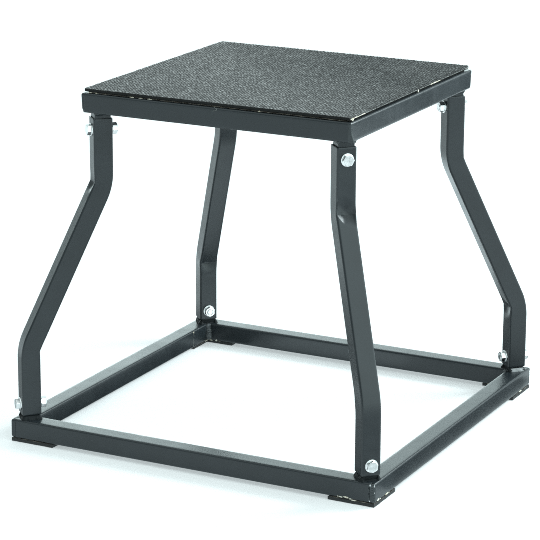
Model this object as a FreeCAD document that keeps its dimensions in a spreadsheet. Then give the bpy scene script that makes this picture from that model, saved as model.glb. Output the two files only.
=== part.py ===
import FreeCAD, Part
import math
import os
import Sketcher

# A bolt-together steel jump box: a square platform frame under a rubber tread
# mat, four S-bent square-tube legs set on the diagonals, and a larger square
# base ring on rubber pads.  Each leg sleeves over a stub welded under a
# platform corner and over a stub welded on a base corner, with one through
# bolt at each end.  Millimetres; the origin is on the floor under the centre,
# +Z is up, the rails run along X and Y.

V = FreeCAD.Vector
doc = FreeCAD.newDocument("plyo_box")

# ---------------------------------------------------------------- dimensions
TABLE = [
    ("total_height", 457.0, "floor to tread surface"),
    ("base_side", 514.0, "outside of the base ring"),
    ("top_side", 374.0, "outside of the platform frame"),
    ("tube_side", 25.0, "square tube of rails and legs"),
    ("tube_wall", 1.5, "wall of that tube"),
    ("tube_edge", 2.5, "outer edge radius of that tube"),
    ("corner_cut", 4.5, "width of the weld at each outer corner of a ring"),
    ("corner_bead", 4.0, "leg of the weld in each inner corner of a ring"),
    ("foot_thick", 4.5, "rubber foot pad"),
    ("foot_reach", 62.0, "length of each arm of a foot pad"),
    ("glue_thick", 0.5, "adhesive layers"),
    ("deck_side", 360.0, "steel deck sheet"),
    ("deck_thick", 1.5, "steel deck sheet"),
    ("deck_round", 6.0, "corner radius of the deck sheet"),
    ("stitch_leg", 4.0, "leg of the stitch welds under the deck"),
    ("stitch_run", 40.0, "length of each stitch weld"),
    ("stitch_gap", 80.0, "stitch centre from the middle of a rail"),
    ("mat_side", 368.0, "rubber tread mat"),
    ("mat_thick", 4.0, "rubber tread mat"),
    ("mat_round", 1.5, "corner radius of the mat"),
    ("squeeze_out", 2.5, "adhesive past the edge of the deck sheet"),
    ("leg_low", 338.0, "leg axis from the centre line, lower end"),
    ("leg_high", 239.0, "leg axis from the centre line, upper end"),
    ("leg_foot", 36.5, "height of the leg's lower end"),
    ("leg_head", 418.5, "height of the leg's upper end"),
    ("bend_low", 124.0, "height where the axes cross at the lower bend"),
    ("bend_high", 333.0, "height where the axes cross at the upper bend"),
    ("bend_round", 70.0, "bend radius on the leg's axis"),
    ("spigot_side", 21.0, "square stub inside each leg end"),
    ("spigot_wall", 1.5, "wall of the stub"),
    ("spigot_edge", 1.5, "outer edge radius of the stub"),
    ("spigot_run", 40.0, "length of each stub"),
    ("ring_leg", 3.0, "leg of the weld round each stub"),
    ("bolt_low", 49.5, "height of the lower bolts"),
    ("bolt_high", 403.5, "height of the upper bolts"),
    ("bolt_dia", 8.0, "bolt shank"),
    ("hole_dia", 8.6, "bolt holes in legs and stubs"),
    ("shank_run", 35.0, "bolt length under the head"),
    ("hex_flats", 13.0, "bolt head and nut across flats"),
    ("head_thick", 5.3, "bolt head"),
    ("nut_thick", 6.5, "nut"),
    ("nut_bore", 8.1, "nut bore over the thread crests"),
    ("washer_dia", 16.5, "washer"),
    ("washer_bore", 8.4, "washer"),
    ("washer_thick", 1.5, "washer"),
]
sheet = doc.addObject("Spreadsheet::Sheet", "dims")
for row, (alias, number, note) in enumerate(TABLE, start=1):
    sheet.set("A%d" % row, alias)
    sheet.set("B%d" % row, repr(number))
    sheet.set("C%d" % row, note)
    sheet.setAlias("B%d" % row, alias)
doc.recompute()

# heights and offsets that follow from the table
BASE_LOW = "(dims.foot_thick + dims.glue_thick)"
BASE_TOP = "(dims.foot_thick + dims.glue_thick + dims.tube_side)"
DECK_LOW = "(dims.total_height - dims.mat_thick - dims.glue_thick - dims.deck_thick)"
TOP_LOW = "(dims.total_height - dims.mat_thick - dims.glue_thick - dims.deck_thick - dims.tube_side)"
MAT_LOW = "(dims.total_height - dims.mat_thick)"
BORE = "(dims.tube_side - 2 * dims.tube_wall)"


# ------------------------------------------------------------------- helpers
def value(expression):
    got = sheet.evalExpression(expression)
    return float(getattr(got, "Value", got))


def feature_of(body, role):
    for item in body.Origin.OriginFeatures:
        if item.Role == role:
            return item
    raise RuntimeError("no " + role)


def new_body(label):
    body = doc.addObject("PartDesign::Body", label)
    body.Label = label
    return body


def new_sketch(body, name, role, shift=None):
    """A sketch on one of the body's own planes, moved by bound offsets."""
    sketch = body.newObject("Sketcher::SketchObject", body.Name + "_" + name)
    sketch.AttachmentSupport = [(feature_of(body, role), "")]
    sketch.MapMode = "FlatFace"
    for axis, expression in (shift or {}).items():
        sketch.setExpression("AttachmentOffset.Base." + axis, expression)
    return sketch


def bind(sketch, number, name, expression):
    sketch.renameConstraint(number, name)
    sketch.setExpression("Constraints." + name, expression)


def polygon(sketch, corners, tag="p"):
    """A closed polygon whose corner coordinates are all bound."""
    points = [V(value(x), value(y), 0) for x, y in corners]
    count = len(points)
    first = sketch.GeometryCount
    for i in range(count):
        sketch.addGeometry(Part.LineSegment(points[i], points[(i + 1) % count]), False)
    for i in range(count):
        sketch.addConstraint(Sketcher.Constraint("Coincident", first + i, 2, first + (i + 1) % count, 1))
    for i, (x, y) in enumerate(corners):
        if abs(points[i].x) < 1e-9:
            sketch.addConstraint(Sketcher.Constraint("PointOnObject", first + i, 1, -2))
        else:
            bind(sketch, sketch.addConstraint(Sketcher.Constraint("DistanceX", first + i, 1, points[i].x)), "%s%dx" % (tag, i), x)
        if abs(points[i].y) < 1e-9:
            sketch.addConstraint(Sketcher.Constraint("PointOnObject", first + i, 1, -1))
        else:
            bind(sketch, sketch.addConstraint(Sketcher.Constraint("DistanceY", first + i, 1, points[i].y)), "%s%dy" % (tag, i), y)


def rounded_square(sketch, side, radius, tag):
    """A square with rounded corners, centred on the sketch origin."""
    h, r = value(side) / 2.0, value(radius)
    k = h - r
    normal = V(0, 0, 1)
    first = sketch.GeometryCount
    quarter = math.pi / 2

    def arc(cx, cy, start):
        return Part.ArcOfCircle(Part.Circle(V(cx, cy, 0), normal, r), start, start + quarter)

    sketch.addGeometry([
        Part.LineSegment(V(-k, -h, 0), V(k, -h, 0)), arc(k, -k, -quarter),
        Part.LineSegment(V(h, -k, 0), V(h, k, 0)), arc(k, k, 0.0),
        Part.LineSegment(V(k, h, 0), V(-k, h, 0)), arc(-k, k, quarter),
        Part.LineSegment(V(-h, k, 0), V(-h, -k, 0)), arc(-k, -k, math.pi),
    ], False)
    for i in range(8):
        sketch.addConstraint(Sketcher.Constraint("Tangent", first + i, 2, first + (i + 1) % 8, 1))
    for i, kind in ((0, "Horizontal"), (4, "Horizontal"), (2, "Vertical"), (6, "Vertical")):
        sketch.addConstraint(Sketcher.Constraint(kind, first + i))
    for i in (3, 5, 7):
        sketch.addConstraint(Sketcher.Constraint("Equal", first + 1, first + i))
    sketch.addConstraint(Sketcher.Constraint("Symmetric", first + 1, 3, first + 5, 3, -1, 1))
    bind(sketch, sketch.addConstraint(Sketcher.Constraint("Radius", first + 1, r)), tag + "_radius", radius)
    bind(sketch, sketch.addConstraint(Sketcher.Constraint("DistanceX", first + 6, 1, first + 2, 2, 2 * h)), tag + "_width", side)
    bind(sketch, sketch.addConstraint(Sketcher.Constraint("DistanceY", first, 1, first + 4, 2, 2 * h)), tag + "_height", side)


def circle(sketch, height, diameter, tag):
    """A circle on the sketch's vertical axis."""
    number = sketch.addGeometry(Part.Circle(V(0, value(height), 0), V(0, 0, 1), value(diameter) / 2.0), False)
    sketch.addConstraint(Sketcher.Constraint("PointOnObject", number, 3, -2))
    bind(sketch, sketch.addConstraint(Sketcher.Constraint("DistanceY", -1, 1, number, 3, value(height))), tag + "_height", height)
    bind(sketch, sketch.addConstraint(Sketcher.Constraint("Diameter", number, value(diameter))), tag + "_diameter", diameter)


def hexagon(sketch, height, flats, tag):
    corners = []
    for i in range(6):
        turn = math.radians(60 * i + 90)
        corners.append(("%s * %.9f" % (flats, math.cos(turn) / math.sqrt(3)),
                        "%s + %s * %.9f" % (height, flats, math.sin(turn) / math.sqrt(3))))
    corners = [("0" if abs(value(x)) < 1e-6 else x, y) for x, y in corners]
    polygon(sketch, corners, tag)


def pad(body, sketch, name, length, symmetric=False, backwards=False):
    feature = body.newObject("PartDesign::Pad", body.Name + "_" + name)
    feature.Profile = sketch
    feature.setExpression("Length", length)
    if symmetric:
        feature.SideType = "Symmetric"
    feature.Reversed = backwards
    sketch.Visibility = False
    doc.recompute()
    return feature


def cut_through(body, sketch, name):
    """A pocket right through, both ways from its sketch."""
    before = body.Shape.Volume
    feature = body.newObject("PartDesign::Pocket", body.Name + "_" + name)
    feature.Profile = sketch
    feature.Type = "ThroughAll"
    feature.SideType = "Symmetric"
    sketch.Visibility = False
    doc.recompute()
    if not body.Shape.Volume < before - 1e-3:
        raise RuntimeError("%s cuts nothing" % feature.Name)
    return feature


def four_times(body, features):
    """The same piece at the other three corners."""
    pattern = body.newObject("PartDesign::PolarPattern", body.Name + "_pattern")
    pattern.Originals = features
    pattern.Axis = (feature_of(body, "Z_Axis"), [""])
    pattern.Angle = 360
    pattern.Occurrences = 4
    body.Tip = pattern
    doc.recompute()
    return pattern


def place(body, turn, x="0", y="0", z="0"):
    body.Placement = FreeCAD.Placement(V(0, 0, 0), FreeCAD.Rotation(V(0, 0, 1), turn))
    for axis, expression in (("x", x), ("y", y), ("z", z)):
        if expression != "0":
            body.setExpression("Placement.Base." + axis, expression)


NODES = []
SOLIDS = {}


def keep(body, solids=1):
    NODES.append(body)
    SOLIDS[body.Label] = solids
    return body


SIDES = (("front", 0, 0, -1), ("right", 90, 1, 0), ("back", 180, 0, 1), ("left", 270, -1, 0))
CORNERS = (("near", -45), ("right", 45), ("rear", 135), ("left", 225))


# ------------------------------------------------------------ mitred tube rings
def rail(label, side, low, turn, sx, sy):
    """One tube of a ring, outer face towards local -Y, ends mitred, tips cut for the weld."""
    body = new_body(label)
    profile = new_sketch(body, "profile", "YZ_Plane")
    rounded_square(profile, "dims.tube_side", "dims.tube_edge", "outer")
    rounded_square(profile, BORE, "dims.tube_edge - dims.tube_wall", "bore")
    pad(body, profile, "tube", side, symmetric=True)
    ends = new_sketch(body, "mitres", "XY_Plane")
    half, tube, bite = side + " / 2", "dims.tube_side", "dims.corner_cut"
    reach = [
        ("%s - %s - 1" % (half, bite), "-%s / 2 - 1" % tube),
        ("%s - %s / 2" % (half, bite), "-%s / 2 + %s / 2" % (tube, bite)),
        ("%s - %s - 1" % (half, tube), "%s / 2 + 1" % tube),
        ("%s + 1" % half, "%s / 2 + 1" % tube),
        ("%s + 1" % half, "-%s / 2 - 1" % tube),
    ]
    polygon(ends, reach, "e")
    polygon(ends, [("-(%s)" % x, y) for x, y in reach], "w")
    cut_through(body, ends, "mitre")
    middle = "(%s - dims.tube_side) / 2" % side
    place(body, turn,
          "0" if sx == 0 else "%d * %s" % (sx, middle),
          "0" if sy == 0 else "%d * %s" % (sy, middle),
          low + " + dims.tube_side / 2")
    return keep(body)


for side_name, turn, sx, sy in SIDES:
    rail("base_rail_" + side_name, "dims.base_side", BASE_LOW, turn, sx, sy)
for side_name, turn, sx, sy in SIDES:
    rail("top_rail_" + side_name, "dims.top_side", TOP_LOW, turn, sx, sy)


def corner_welds(label, side, low):
    """A rounded bead on each outer corner and a fillet in each inner corner of a ring."""
    body = new_body(label)
    outer = new_sketch(body, "outer", "XY_Plane")
    x, y, c = value(side) / 2, -value(side) / 2, value("dims.corner_cut")
    arc = outer.addGeometry(Part.ArcOfCircle(Part.Circle(V(x - c, y + c, 0), V(0, 0, 1), c), -math.pi / 2, 0.0), False)
    mid = outer.addGeometry(Part.LineSegment(V(x, y + c, 0), V(x - c, y, 0)), False)
    outer.addConstraint(Sketcher.Constraint("Coincident", arc, 2, mid, 1))
    outer.addConstraint(Sketcher.Constraint("Coincident", mid, 2, arc, 1))
    outer.addConstraint(Sketcher.Constraint("Vertical", arc, 1, arc, 3))
    outer.addConstraint(Sketcher.Constraint("Horizontal", arc, 2, arc, 3))
    bind(outer, outer.addConstraint(Sketcher.Constraint("Radius", arc, c)), "bead", "dims.corner_cut")
    bind(outer, outer.addConstraint(Sketcher.Constraint("DistanceX", arc, 3, x - c)), "across", side + " / 2 - dims.corner_cut")
    bind(outer, outer.addConstraint(Sketcher.Constraint("DistanceY", arc, 3, y + c)), "back", "-(%s / 2 - dims.corner_cut)" % side)
    bead = pad(body, outer, "bead", "dims.tube_side - 2 * dims.tube_edge", symmetric=True)
    inner = new_sketch(body, "inner", "XY_Plane")
    face = "(%s / 2 - dims.tube_side)" % side
    polygon(inner, [(face, "-" + face), (face, "-%s + dims.corner_bead" % face), ("%s - dims.corner_bead" % face, "-" + face)], "f")
    fillet = pad(body, inner, "fillet", "dims.tube_side - 2 * dims.tube_edge", symmetric=True)
    four_times(body, [bead, fillet])
    place(body, 0, z=low + " + dims.tube_side / 2")
    return keep(body, 8)


corner_welds("base_corner_welds", "dims.base_side", BASE_LOW)
corner_welds("top_corner_welds", "dims.top_side", TOP_LOW)


# ------------------------------------------------------------------ the stubs
def spigot(label, turn, radius, low, hole):
    """A square stub, set on the diagonal, drilled for its bolt."""
    body = new_body(label)
    profile = new_sketch(body, "profile", "XY_Plane")
    rounded_square(profile, "dims.spigot_side", "dims.spigot_edge", "outer")
    rounded_square(profile, "dims.spigot_side - 2 * dims.spigot_wall", "0.5", "bore")
    pad(body, profile, "tube", "dims.spigot_run")
    drill = new_sketch(body, "drill", "YZ_Plane")
    circle(drill, "%s - %s" % (hole, low), "dims.hole_dia", "bolt")
    cut_through(body, drill, "bolt_hole")
    place(body, turn, "%s * cos(%d deg)" % (radius, turn), "%s * sin(%d deg)" % (radius, turn), low)
    return keep(body)


def spigot_welds(label, radius, ring_side, level, upwards):
    """A fillet weld round each stub where it meets its ring."""
    body = new_body(label)
    way = "+" if upwards else "-"
    wide = new_sketch(body, "wide", "XY_Plane", {"x": radius, "z": level})
    rounded_square(wide, "dims.spigot_side + 2 * dims.ring_leg", "dims.spigot_edge + dims.ring_leg", "wide")
    slim = new_sketch(body, "slim", "XY_Plane", {"x": radius, "z": "%s %s dims.ring_leg" % (level, way)})
    rounded_square(slim, "dims.spigot_side + 0.6", "dims.spigot_edge + 0.3", "slim")
    loft = body.newObject("PartDesign::AdditiveLoft", body.Name + "_ring")
    loft.Profile = wide
    loft.Sections = [slim]
    loft.Ruled = True
    wide.Visibility = slim.Visibility = False
    doc.recompute()
    hole = new_sketch(body, "hole", "XY_Plane", {"x": radius, "z": level})
    rounded_square(hole, "dims.spigot_side", "dims.spigot_edge", "stub")
    bore = cut_through(body, hole, "bore")
    # nothing to weld to past the ring's inner corner
    corner = "(%s / 2 - dims.tube_side) * 1.414213562" % ring_side
    notch = new_sketch(body, "notch", "XY_Plane", {"z": level})
    polygon(notch, [(corner, "0"), (corner + " - 9", "9"), (corner + " - 9", "-9")], "n")
    gap = cut_through(body, notch, "gap")
    four_times(body, [loft, bore, gap])
    place(body, 45)
    return keep(body, 4)


for corner_name, turn in CORNERS:
    spigot("base_spigot_" + corner_name, turn, "dims.leg_low", BASE_TOP, "dims.bolt_low")
for corner_name, turn in CORNERS:
    spigot("top_spigot_" + corner_name, turn, "dims.leg_high", "(%s - dims.spigot_run)" % TOP_LOW, "dims.bolt_high")
spigot_welds("base_spigot_welds", "dims.leg_low", "dims.base_side", BASE_TOP, True)
spigot_welds("top_spigot_welds", "dims.leg_high", "dims.top_side", TOP_LOW, False)


# ------------------------------------------------------------------- the legs
def leg(label, turn):
    """Square tube with two opposite bends in the plane of the diagonal; local X points outwards."""
    body = new_body(label)
    offset = "(dims.leg_low - dims.leg_high)"
    length = "(dims.leg_head - dims.leg_foot)"
    lean = "atan(%s / (dims.bend_high - dims.bend_low))" % offset
    tangent = "dims.bend_round * tan(%s / 2)" % lean
    low_run = "dims.bend_low - dims.leg_foot - " + tangent
    high_run = "dims.leg_head - dims.bend_high - " + tangent
    profile = new_sketch(body, "profile", "XY_Plane")
    rounded_square(profile, "dims.tube_side", "dims.tube_edge", "outer")
    rounded_square(profile, BORE, "dims.tube_edge - dims.tube_wall", "bore")

    off, run, r = value(offset), value(length), value("dims.bend_round")
    a = math.atan2(off, value("dims.bend_high") - value("dims.bend_low"))
    l1, l3 = value(low_run), value(high_run)
    p1, p4 = V(0, l1, 0), V(-off, run - l3, 0)
    p2 = V(-r + r * math.cos(a), l1 + r * math.sin(a), 0)
    p3 = V(-off + r - r * math.cos(a), run - l3 - r * math.sin(a), 0)
    path = new_sketch(body, "path", "XZ_Plane")
    path.addGeometry([
        Part.LineSegment(V(0, 0, 0), p1),
        Part.ArcOfCircle(Part.Circle(V(-r, l1, 0), V(0, 0, 1), r), 0.0, a),
        Part.LineSegment(p2, p3),
        Part.ArcOfCircle(Part.Circle(V(-off + r, run - l3, 0), V(0, 0, 1), r), math.pi, math.pi + a),
        Part.LineSegment(p4, V(-off, run, 0)),
    ], False)
    for one, one_end, two, two_end in ((0, 2, 1, 1), (1, 2, 2, 1), (2, 2, 3, 2), (3, 1, 4, 1)):
        path.addConstraint(Sketcher.Constraint("Tangent", one, one_end, two, two_end))
    path.addConstraint(Sketcher.Constraint("Coincident", 0, 1, -1, 1))
    path.addConstraint(Sketcher.Constraint("Vertical", 0))
    path.addConstraint(Sketcher.Constraint("Vertical", 4))
    path.addConstraint(Sketcher.Constraint("Equal", 1, 3))
    bind(path, path.addConstraint(Sketcher.Constraint("Radius", 1, r)), "bend", "dims.bend_round")
    bind(path, path.addConstraint(Sketcher.Constraint("DistanceY", 0, 1, 0, 2, l1)), "low_run", low_run)
    bind(path, path.addConstraint(Sketcher.Constraint("DistanceY", 4, 1, 4, 2, l3)), "high_run", high_run)
    bind(path, path.addConstraint(Sketcher.Constraint("DistanceX", 4, 2, -1, 1, off)), "offset", offset)
    bind(path, path.addConstraint(Sketcher.Constraint("DistanceY", -1, 1, 4, 2, run)), "length", length)
    doc.recompute()
    tube = body.newObject("PartDesign::AdditivePipe", body.Name + "_tube")
    tube.Profile = profile
    tube.Spine = (path, ["Edge%d" % (i + 1) for i in range(5)])
    tube.Mode = "Binormal"
    tube.Binormal = V(0, 1, 0)
    profile.Visibility = path.Visibility = False
    doc.recompute()
    drill = new_sketch(body, "drill", "YZ_Plane")
    circle(drill, "dims.bolt_low - dims.leg_foot", "dims.hole_dia", "low")
    circle(drill, "dims.bolt_high - dims.leg_foot", "dims.hole_dia", "high")
    cut_through(body, drill, "bolt_holes")
    place(body, turn, "dims.leg_low * cos(%d deg)" % turn, "dims.leg_low * sin(%d deg)" % turn, "dims.leg_foot")
    return keep(body)


for corner_name, turn in CORNERS:
    leg("leg_" + corner_name, turn)


# --------------------------------------------------------------- the fasteners
def fasteners(level_name, axis, height):
    face_out = "(%s + dims.tube_side / 2)" % axis
    face_in = "(%s - dims.tube_side / 2)" % axis

    body = new_body(level_name + "_hex_bolts")
    under_head = face_out + " + dims.washer_thick"
    head = new_sketch(body, "head", "YZ_Plane", {"z": under_head})
    hexagon(head, height, "dims.hex_flats", "h")
    head_pad = pad(body, head, "head_pad", "dims.head_thick")
    shank = new_sketch(body, "shank", "YZ_Plane", {"z": under_head})
    circle(shank, height, "dims.bolt_dia", "shank")
    shank_pad = pad(body, shank, "shank_pad", "dims.shank_run", backwards=True)
    four_times(body, [head_pad, shank_pad])
    place(body, 45)
    keep(body, 4)

    for name, start in (("head", face_out), ("nut", face_in + " - dims.washer_thick")):
        body = new_body("%s_%s_washers" % (level_name, name))
        ring = new_sketch(body, "ring", "YZ_Plane", {"z": start})
        circle(ring, height, "dims.washer_dia", "rim")
        circle(ring, height, "dims.washer_bore", "bore")
        four_times(body, [pad(body, ring, "disc", "dims.washer_thick")])
        place(body, 45)
        keep(body, 4)

    body = new_body(level_name + "_nuts")
    ring = new_sketch(body, "ring", "YZ_Plane", {"z": face_in + " - dims.washer_thick - dims.nut_thick"})
    hexagon(ring, height, "dims.hex_flats", "n")
    circle(ring, height, "dims.nut_bore", "bore")
    four_times(body, [pad(body, ring, "block", "dims.nut_thick")])
    place(body, 45)
    keep(body, 4)


fasteners("lower", "dims.leg_low", "dims.bolt_low")
fasteners("upper", "dims.leg_high", "dims.bolt_high")


# ------------------------------------------------------ deck, adhesive and mat
def slab(label, side, radius, thick, level, bore=None):
    body = new_body(label)
    outline = new_sketch(body, "outline", "XY_Plane")
    rounded_square(outline, side, radius, "outer")
    if bore:
        rounded_square(outline, bore[0], bore[1], "bore")
    pad(body, outline, "sheet", thick)
    place(body, 0, z=level)
    return keep(body)


slab("deck_plate", "dims.deck_side", "dims.deck_round", "dims.deck_thick", DECK_LOW)
slab("mat_adhesive", "dims.deck_side", "dims.deck_round", "dims.glue_thick", DECK_LOW + " + dims.deck_thick")
slab("adhesive_bead", "dims.deck_side + 2 * dims.squeeze_out", "dims.deck_round", "dims.deck_thick + dims.glue_thick", DECK_LOW,
     ("dims.deck_side", "dims.deck_round"))
slab("tread_mat", "dims.mat_side", "dims.mat_round", "dims.mat_thick", MAT_LOW)


def deck_stitch_welds():
    """Short fillets between the rails' inner faces and the underside of the deck sheet."""
    body = new_body("deck_stitch_welds")
    runs = []
    face, top, e, w = value("dims.top_side / 2 - dims.tube_side"), value(DECK_LOW), value("dims.tube_edge"), value("dims.stitch_leg")
    for name, sign in (("one", "-"), ("two", "")):
        sketch = new_sketch(body, name, "XZ_Plane", {"z": sign + "dims.stitch_gap"})
        arc = sketch.addGeometry(Part.ArcOfCircle(Part.Circle(V(face + e, top - e, 0), V(0, 0, 1), e), math.pi / 2, math.pi), False)
        points = [V(face, top - e, 0), V(face, top - w, 0), V(face - w, top, 0), V(face + e, top, 0)]
        lines = [sketch.addGeometry(Part.LineSegment(points[i], points[i + 1]), False) for i in range(3)]
        for one, one_end, two, two_end in ((arc, 2, lines[0], 1), (lines[0], 2, lines[1], 1), (lines[1], 2, lines[2], 1), (lines[2], 2, arc, 1)):
            sketch.addConstraint(Sketcher.Constraint("Coincident", one, one_end, two, two_end))
        sketch.addConstraint(Sketcher.Constraint("Vertical", lines[0]))
        sketch.addConstraint(Sketcher.Constraint("Horizontal", lines[2]))
        sketch.addConstraint(Sketcher.Constraint("Horizontal", arc, 2, arc, 3))
        sketch.addConstraint(Sketcher.Constraint("Vertical", arc, 1, arc, 3))
        bind(sketch, sketch.addConstraint(Sketcher.Constraint("Radius", arc, e)), "edge", "dims.tube_edge")
        bind(sketch, sketch.addConstraint(Sketcher.Constraint("DistanceX", arc, 3, face + e)), "across", "dims.top_side / 2 - dims.tube_side + dims.tube_edge")
        bind(sketch, sketch.addConstraint(Sketcher.Constraint("DistanceY", arc, 3, top - e)), "up", DECK_LOW + " - dims.tube_edge")
        bind(sketch, sketch.addConstraint(Sketcher.Constraint("DistanceX", lines[1], 2, face - w)), "toe", "dims.top_side / 2 - dims.tube_side - dims.stitch_leg")
        bind(sketch, sketch.addConstraint(Sketcher.Constraint("DistanceY", lines[1], 1, top - w)), "drop", DECK_LOW + " - dims.stitch_leg")
        runs.append(pad(body, sketch, name + "_run", "dims.stitch_run", symmetric=True))
    four_times(body, runs)
    place(body, 0)
    return keep(body, 8)


deck_stitch_welds()


# -------------------------------------------------------------------- the feet
def elbow(body, name, inset):
    """An L under the near corner of the base ring."""
    sketch = new_sketch(body, name, "XY_Plane")
    out = "(dims.base_side / 2 - %s)" % inset
    inn = "(dims.base_side / 2 - dims.tube_side + %s)" % inset
    far = "(dims.base_side / 2 - dims.foot_reach + %s)" % inset
    polygon(sketch, [(out, "-" + out), (out, "-" + far), (inn, "-" + far), (inn, "-" + inn), (far, "-" + inn), (far, "-" + out)], "l")
    return sketch


for corner_name, turn in (("near", 0), ("right", 90), ("rear", 180), ("left", 270)):
    body = new_body("foot_pad_" + corner_name)
    pad(body, elbow(body, "outline", "0.2"), "block", "dims.foot_thick")
    place(body, turn)
    keep(body)

body = new_body("foot_adhesive")
four_times(body, [pad(body, elbow(body, "outline", "0.2"), "layer", "dims.glue_thick")])
place(body, 0, z="dims.foot_thick")
keep(body, 4)


# ---------------------------------------------------------------- test and write
doc.recompute()
bad = []
for item in doc.Objects:
    if "Invalid" in item.State or "Error" in item.State:
        bad.append("%s: %s" % (item.Name, item.State))
for body in NODES:
    shape = body.Shape
    if shape.isNull() or not shape.isValid():
        bad.append("%s: null or invalid shape" % body.Label)
    elif len(shape.Solids) != SOLIDS[body.Label]:
        bad.append("%s: %d solids, not %d" % (body.Label, len(shape.Solids), SOLIDS[body.Label]))
    elif min(solid.Volume for solid in shape.Solids) <= 0:
        bad.append("%s: empty solid" % body.Label)
if len(set(body.Label for body in NODES)) != len(NODES):
    bad.append("a label is used twice")
if bad:
    raise RuntimeError("; ".join(bad))

os.makedirs("parts", exist_ok=True)
for body in NODES:
    body.Shape.exportStep("parts/%s.step" % body.Label)
    box = body.Shape.BoundBox
    print("%-22s %d solid(s) %9.1f mm3  x %.1f..%.1f  y %.1f..%.1f  z %.1f..%.1f" % (
        body.Label, len(body.Shape.Solids), body.Shape.Volume, box.XMin, box.XMax, box.YMin, box.YMax, box.ZMin, box.ZMax))
print(len(NODES), "nodes written")
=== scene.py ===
"""Looks of the jump box: welded square-tube rings, S-bent bolted legs, grained rubber tread, glued rubber feet.

Lengths in the code are millimetres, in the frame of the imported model, and become metres when a mesh is made.
"""

import math

import bmesh
import bpy
import numpy as np
from mathutils import Matrix, Vector


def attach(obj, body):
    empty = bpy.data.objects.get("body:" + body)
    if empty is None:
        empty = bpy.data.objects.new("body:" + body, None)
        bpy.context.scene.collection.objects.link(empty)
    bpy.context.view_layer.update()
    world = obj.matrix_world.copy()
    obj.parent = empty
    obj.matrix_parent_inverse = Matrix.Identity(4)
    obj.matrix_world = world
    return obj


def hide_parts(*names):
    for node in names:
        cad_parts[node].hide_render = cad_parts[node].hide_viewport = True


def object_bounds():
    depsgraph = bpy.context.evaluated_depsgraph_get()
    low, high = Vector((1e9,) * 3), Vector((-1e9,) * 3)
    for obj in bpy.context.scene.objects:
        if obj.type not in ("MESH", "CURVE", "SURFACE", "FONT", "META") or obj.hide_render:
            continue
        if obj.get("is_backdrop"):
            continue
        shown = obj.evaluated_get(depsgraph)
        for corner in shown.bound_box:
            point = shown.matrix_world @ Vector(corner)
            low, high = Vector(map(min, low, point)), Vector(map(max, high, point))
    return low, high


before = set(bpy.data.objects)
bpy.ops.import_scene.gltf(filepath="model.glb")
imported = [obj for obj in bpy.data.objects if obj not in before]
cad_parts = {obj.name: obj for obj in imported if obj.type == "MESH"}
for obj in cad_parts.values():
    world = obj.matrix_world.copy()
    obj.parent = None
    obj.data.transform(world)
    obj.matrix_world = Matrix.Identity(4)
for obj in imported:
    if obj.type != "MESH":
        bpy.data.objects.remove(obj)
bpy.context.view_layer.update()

MM = 0.001
TAU = 2 * math.pi

# ---------------------------------------------------------------- sizes, as in the CAD model
TUBE = 25.0
HALF_TUBE = TUBE / 2
WALL = 1.5
EDGE = 2.5
BASE = 514.0
BASE_LOW, BASE_HIGH = 5.0, 30.0
TOP = 374.0
TOP_LOW, TOP_HIGH = 426.0, 451.0
SPIGOT = 21.0
R_LOW, R_HIGH = 338.0, 239.0
LEG_LOW, LEG_HIGH = 36.5, 418.5
BEND_LOW, BEND_HIGH = 124.0, 333.0
BEND_RADIUS = 70.0
BOLT_LOW, BOLT_HIGH = 49.5, 403.5
DECK = 360.0
MAT = 368.0
MAT_LOW, MAT_HIGH = 453.0, 457.0
CORNERS = (("near", -45.0), ("right", 45.0), ("rear", 135.0), ("left", 225.0))
SIDES = (("front", 0.0), ("right", 90.0), ("back", 180.0), ("left", 270.0))


# ---------------------------------------------------------------- small tools
def wander(t, seed, count=5, low=0.6, high=3.0):
    """A smooth curve that wanders about zero within about -1 to 1: a few sines with fixed random phases."""
    rng = np.random.default_rng(seed)
    t = np.asarray(t, float)
    out = np.zeros_like(t)
    total = 0.0
    for k in range(count):
        f = low * (high / low) ** (k / max(count - 1, 1)) * rng.uniform(0.85, 1.15)
        a = rng.uniform(0.6, 1.0) / (1 + 0.35 * k)
        out = out + a * np.sin(TAU * f * t + rng.uniform(0, TAU))
        total += a
    return out / (0.62 * total)


def ring_wander(t, seed, waves):
    """The same for a closed path: t runs from 0 to 1 and the curve joins up."""
    rng = np.random.default_rng(seed)
    t = np.asarray(t, float)
    out = np.zeros_like(t)
    total = 0.0
    for w in waves:
        a = rng.uniform(0.6, 1.0)
        out = out + a * np.sin(TAU * (w * t + rng.uniform()))
        total += a
    return out / (0.62 * total)


def smooth(x, low, high):
    x = np.clip((np.asarray(x, float) - low) / (high - low), 0, 1)
    return x * x * (3 - 2 * x)


def bump(x, middle, width):
    return np.exp(-(((np.asarray(x, float) - middle) / width) ** 2))


def turned(points, degrees):
    a = math.radians(degrees)
    c, s = math.cos(a), math.sin(a)
    p = np.asarray(points, float).copy()
    x, y = p[..., 0].copy(), p[..., 1].copy()
    p[..., 0], p[..., 1] = c * x - s * y, s * x + c * y
    return p


def rounded_section(half, radius, on_side=8, on_corner=6):
    """Outline of a square tube with rounded edges, counter-clockwise from the middle of an edge."""
    flat = half - radius
    points = []
    for k in range(4):
        c, s = (1, 0, -1, 0)[k], (0, 1, 0, -1)[k]
        for i in range(on_side):
            e = -flat + 2 * flat * i / on_side
            points.append((c * half - s * e, s * half + c * e))
        for i in range(on_corner):
            a = math.pi / 2 * i / on_corner
            e, f = flat + radius * math.cos(a), flat + radius * math.sin(a)
            points.append((c * e - s * f, s * e + c * f))
    return np.array(points)


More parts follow.
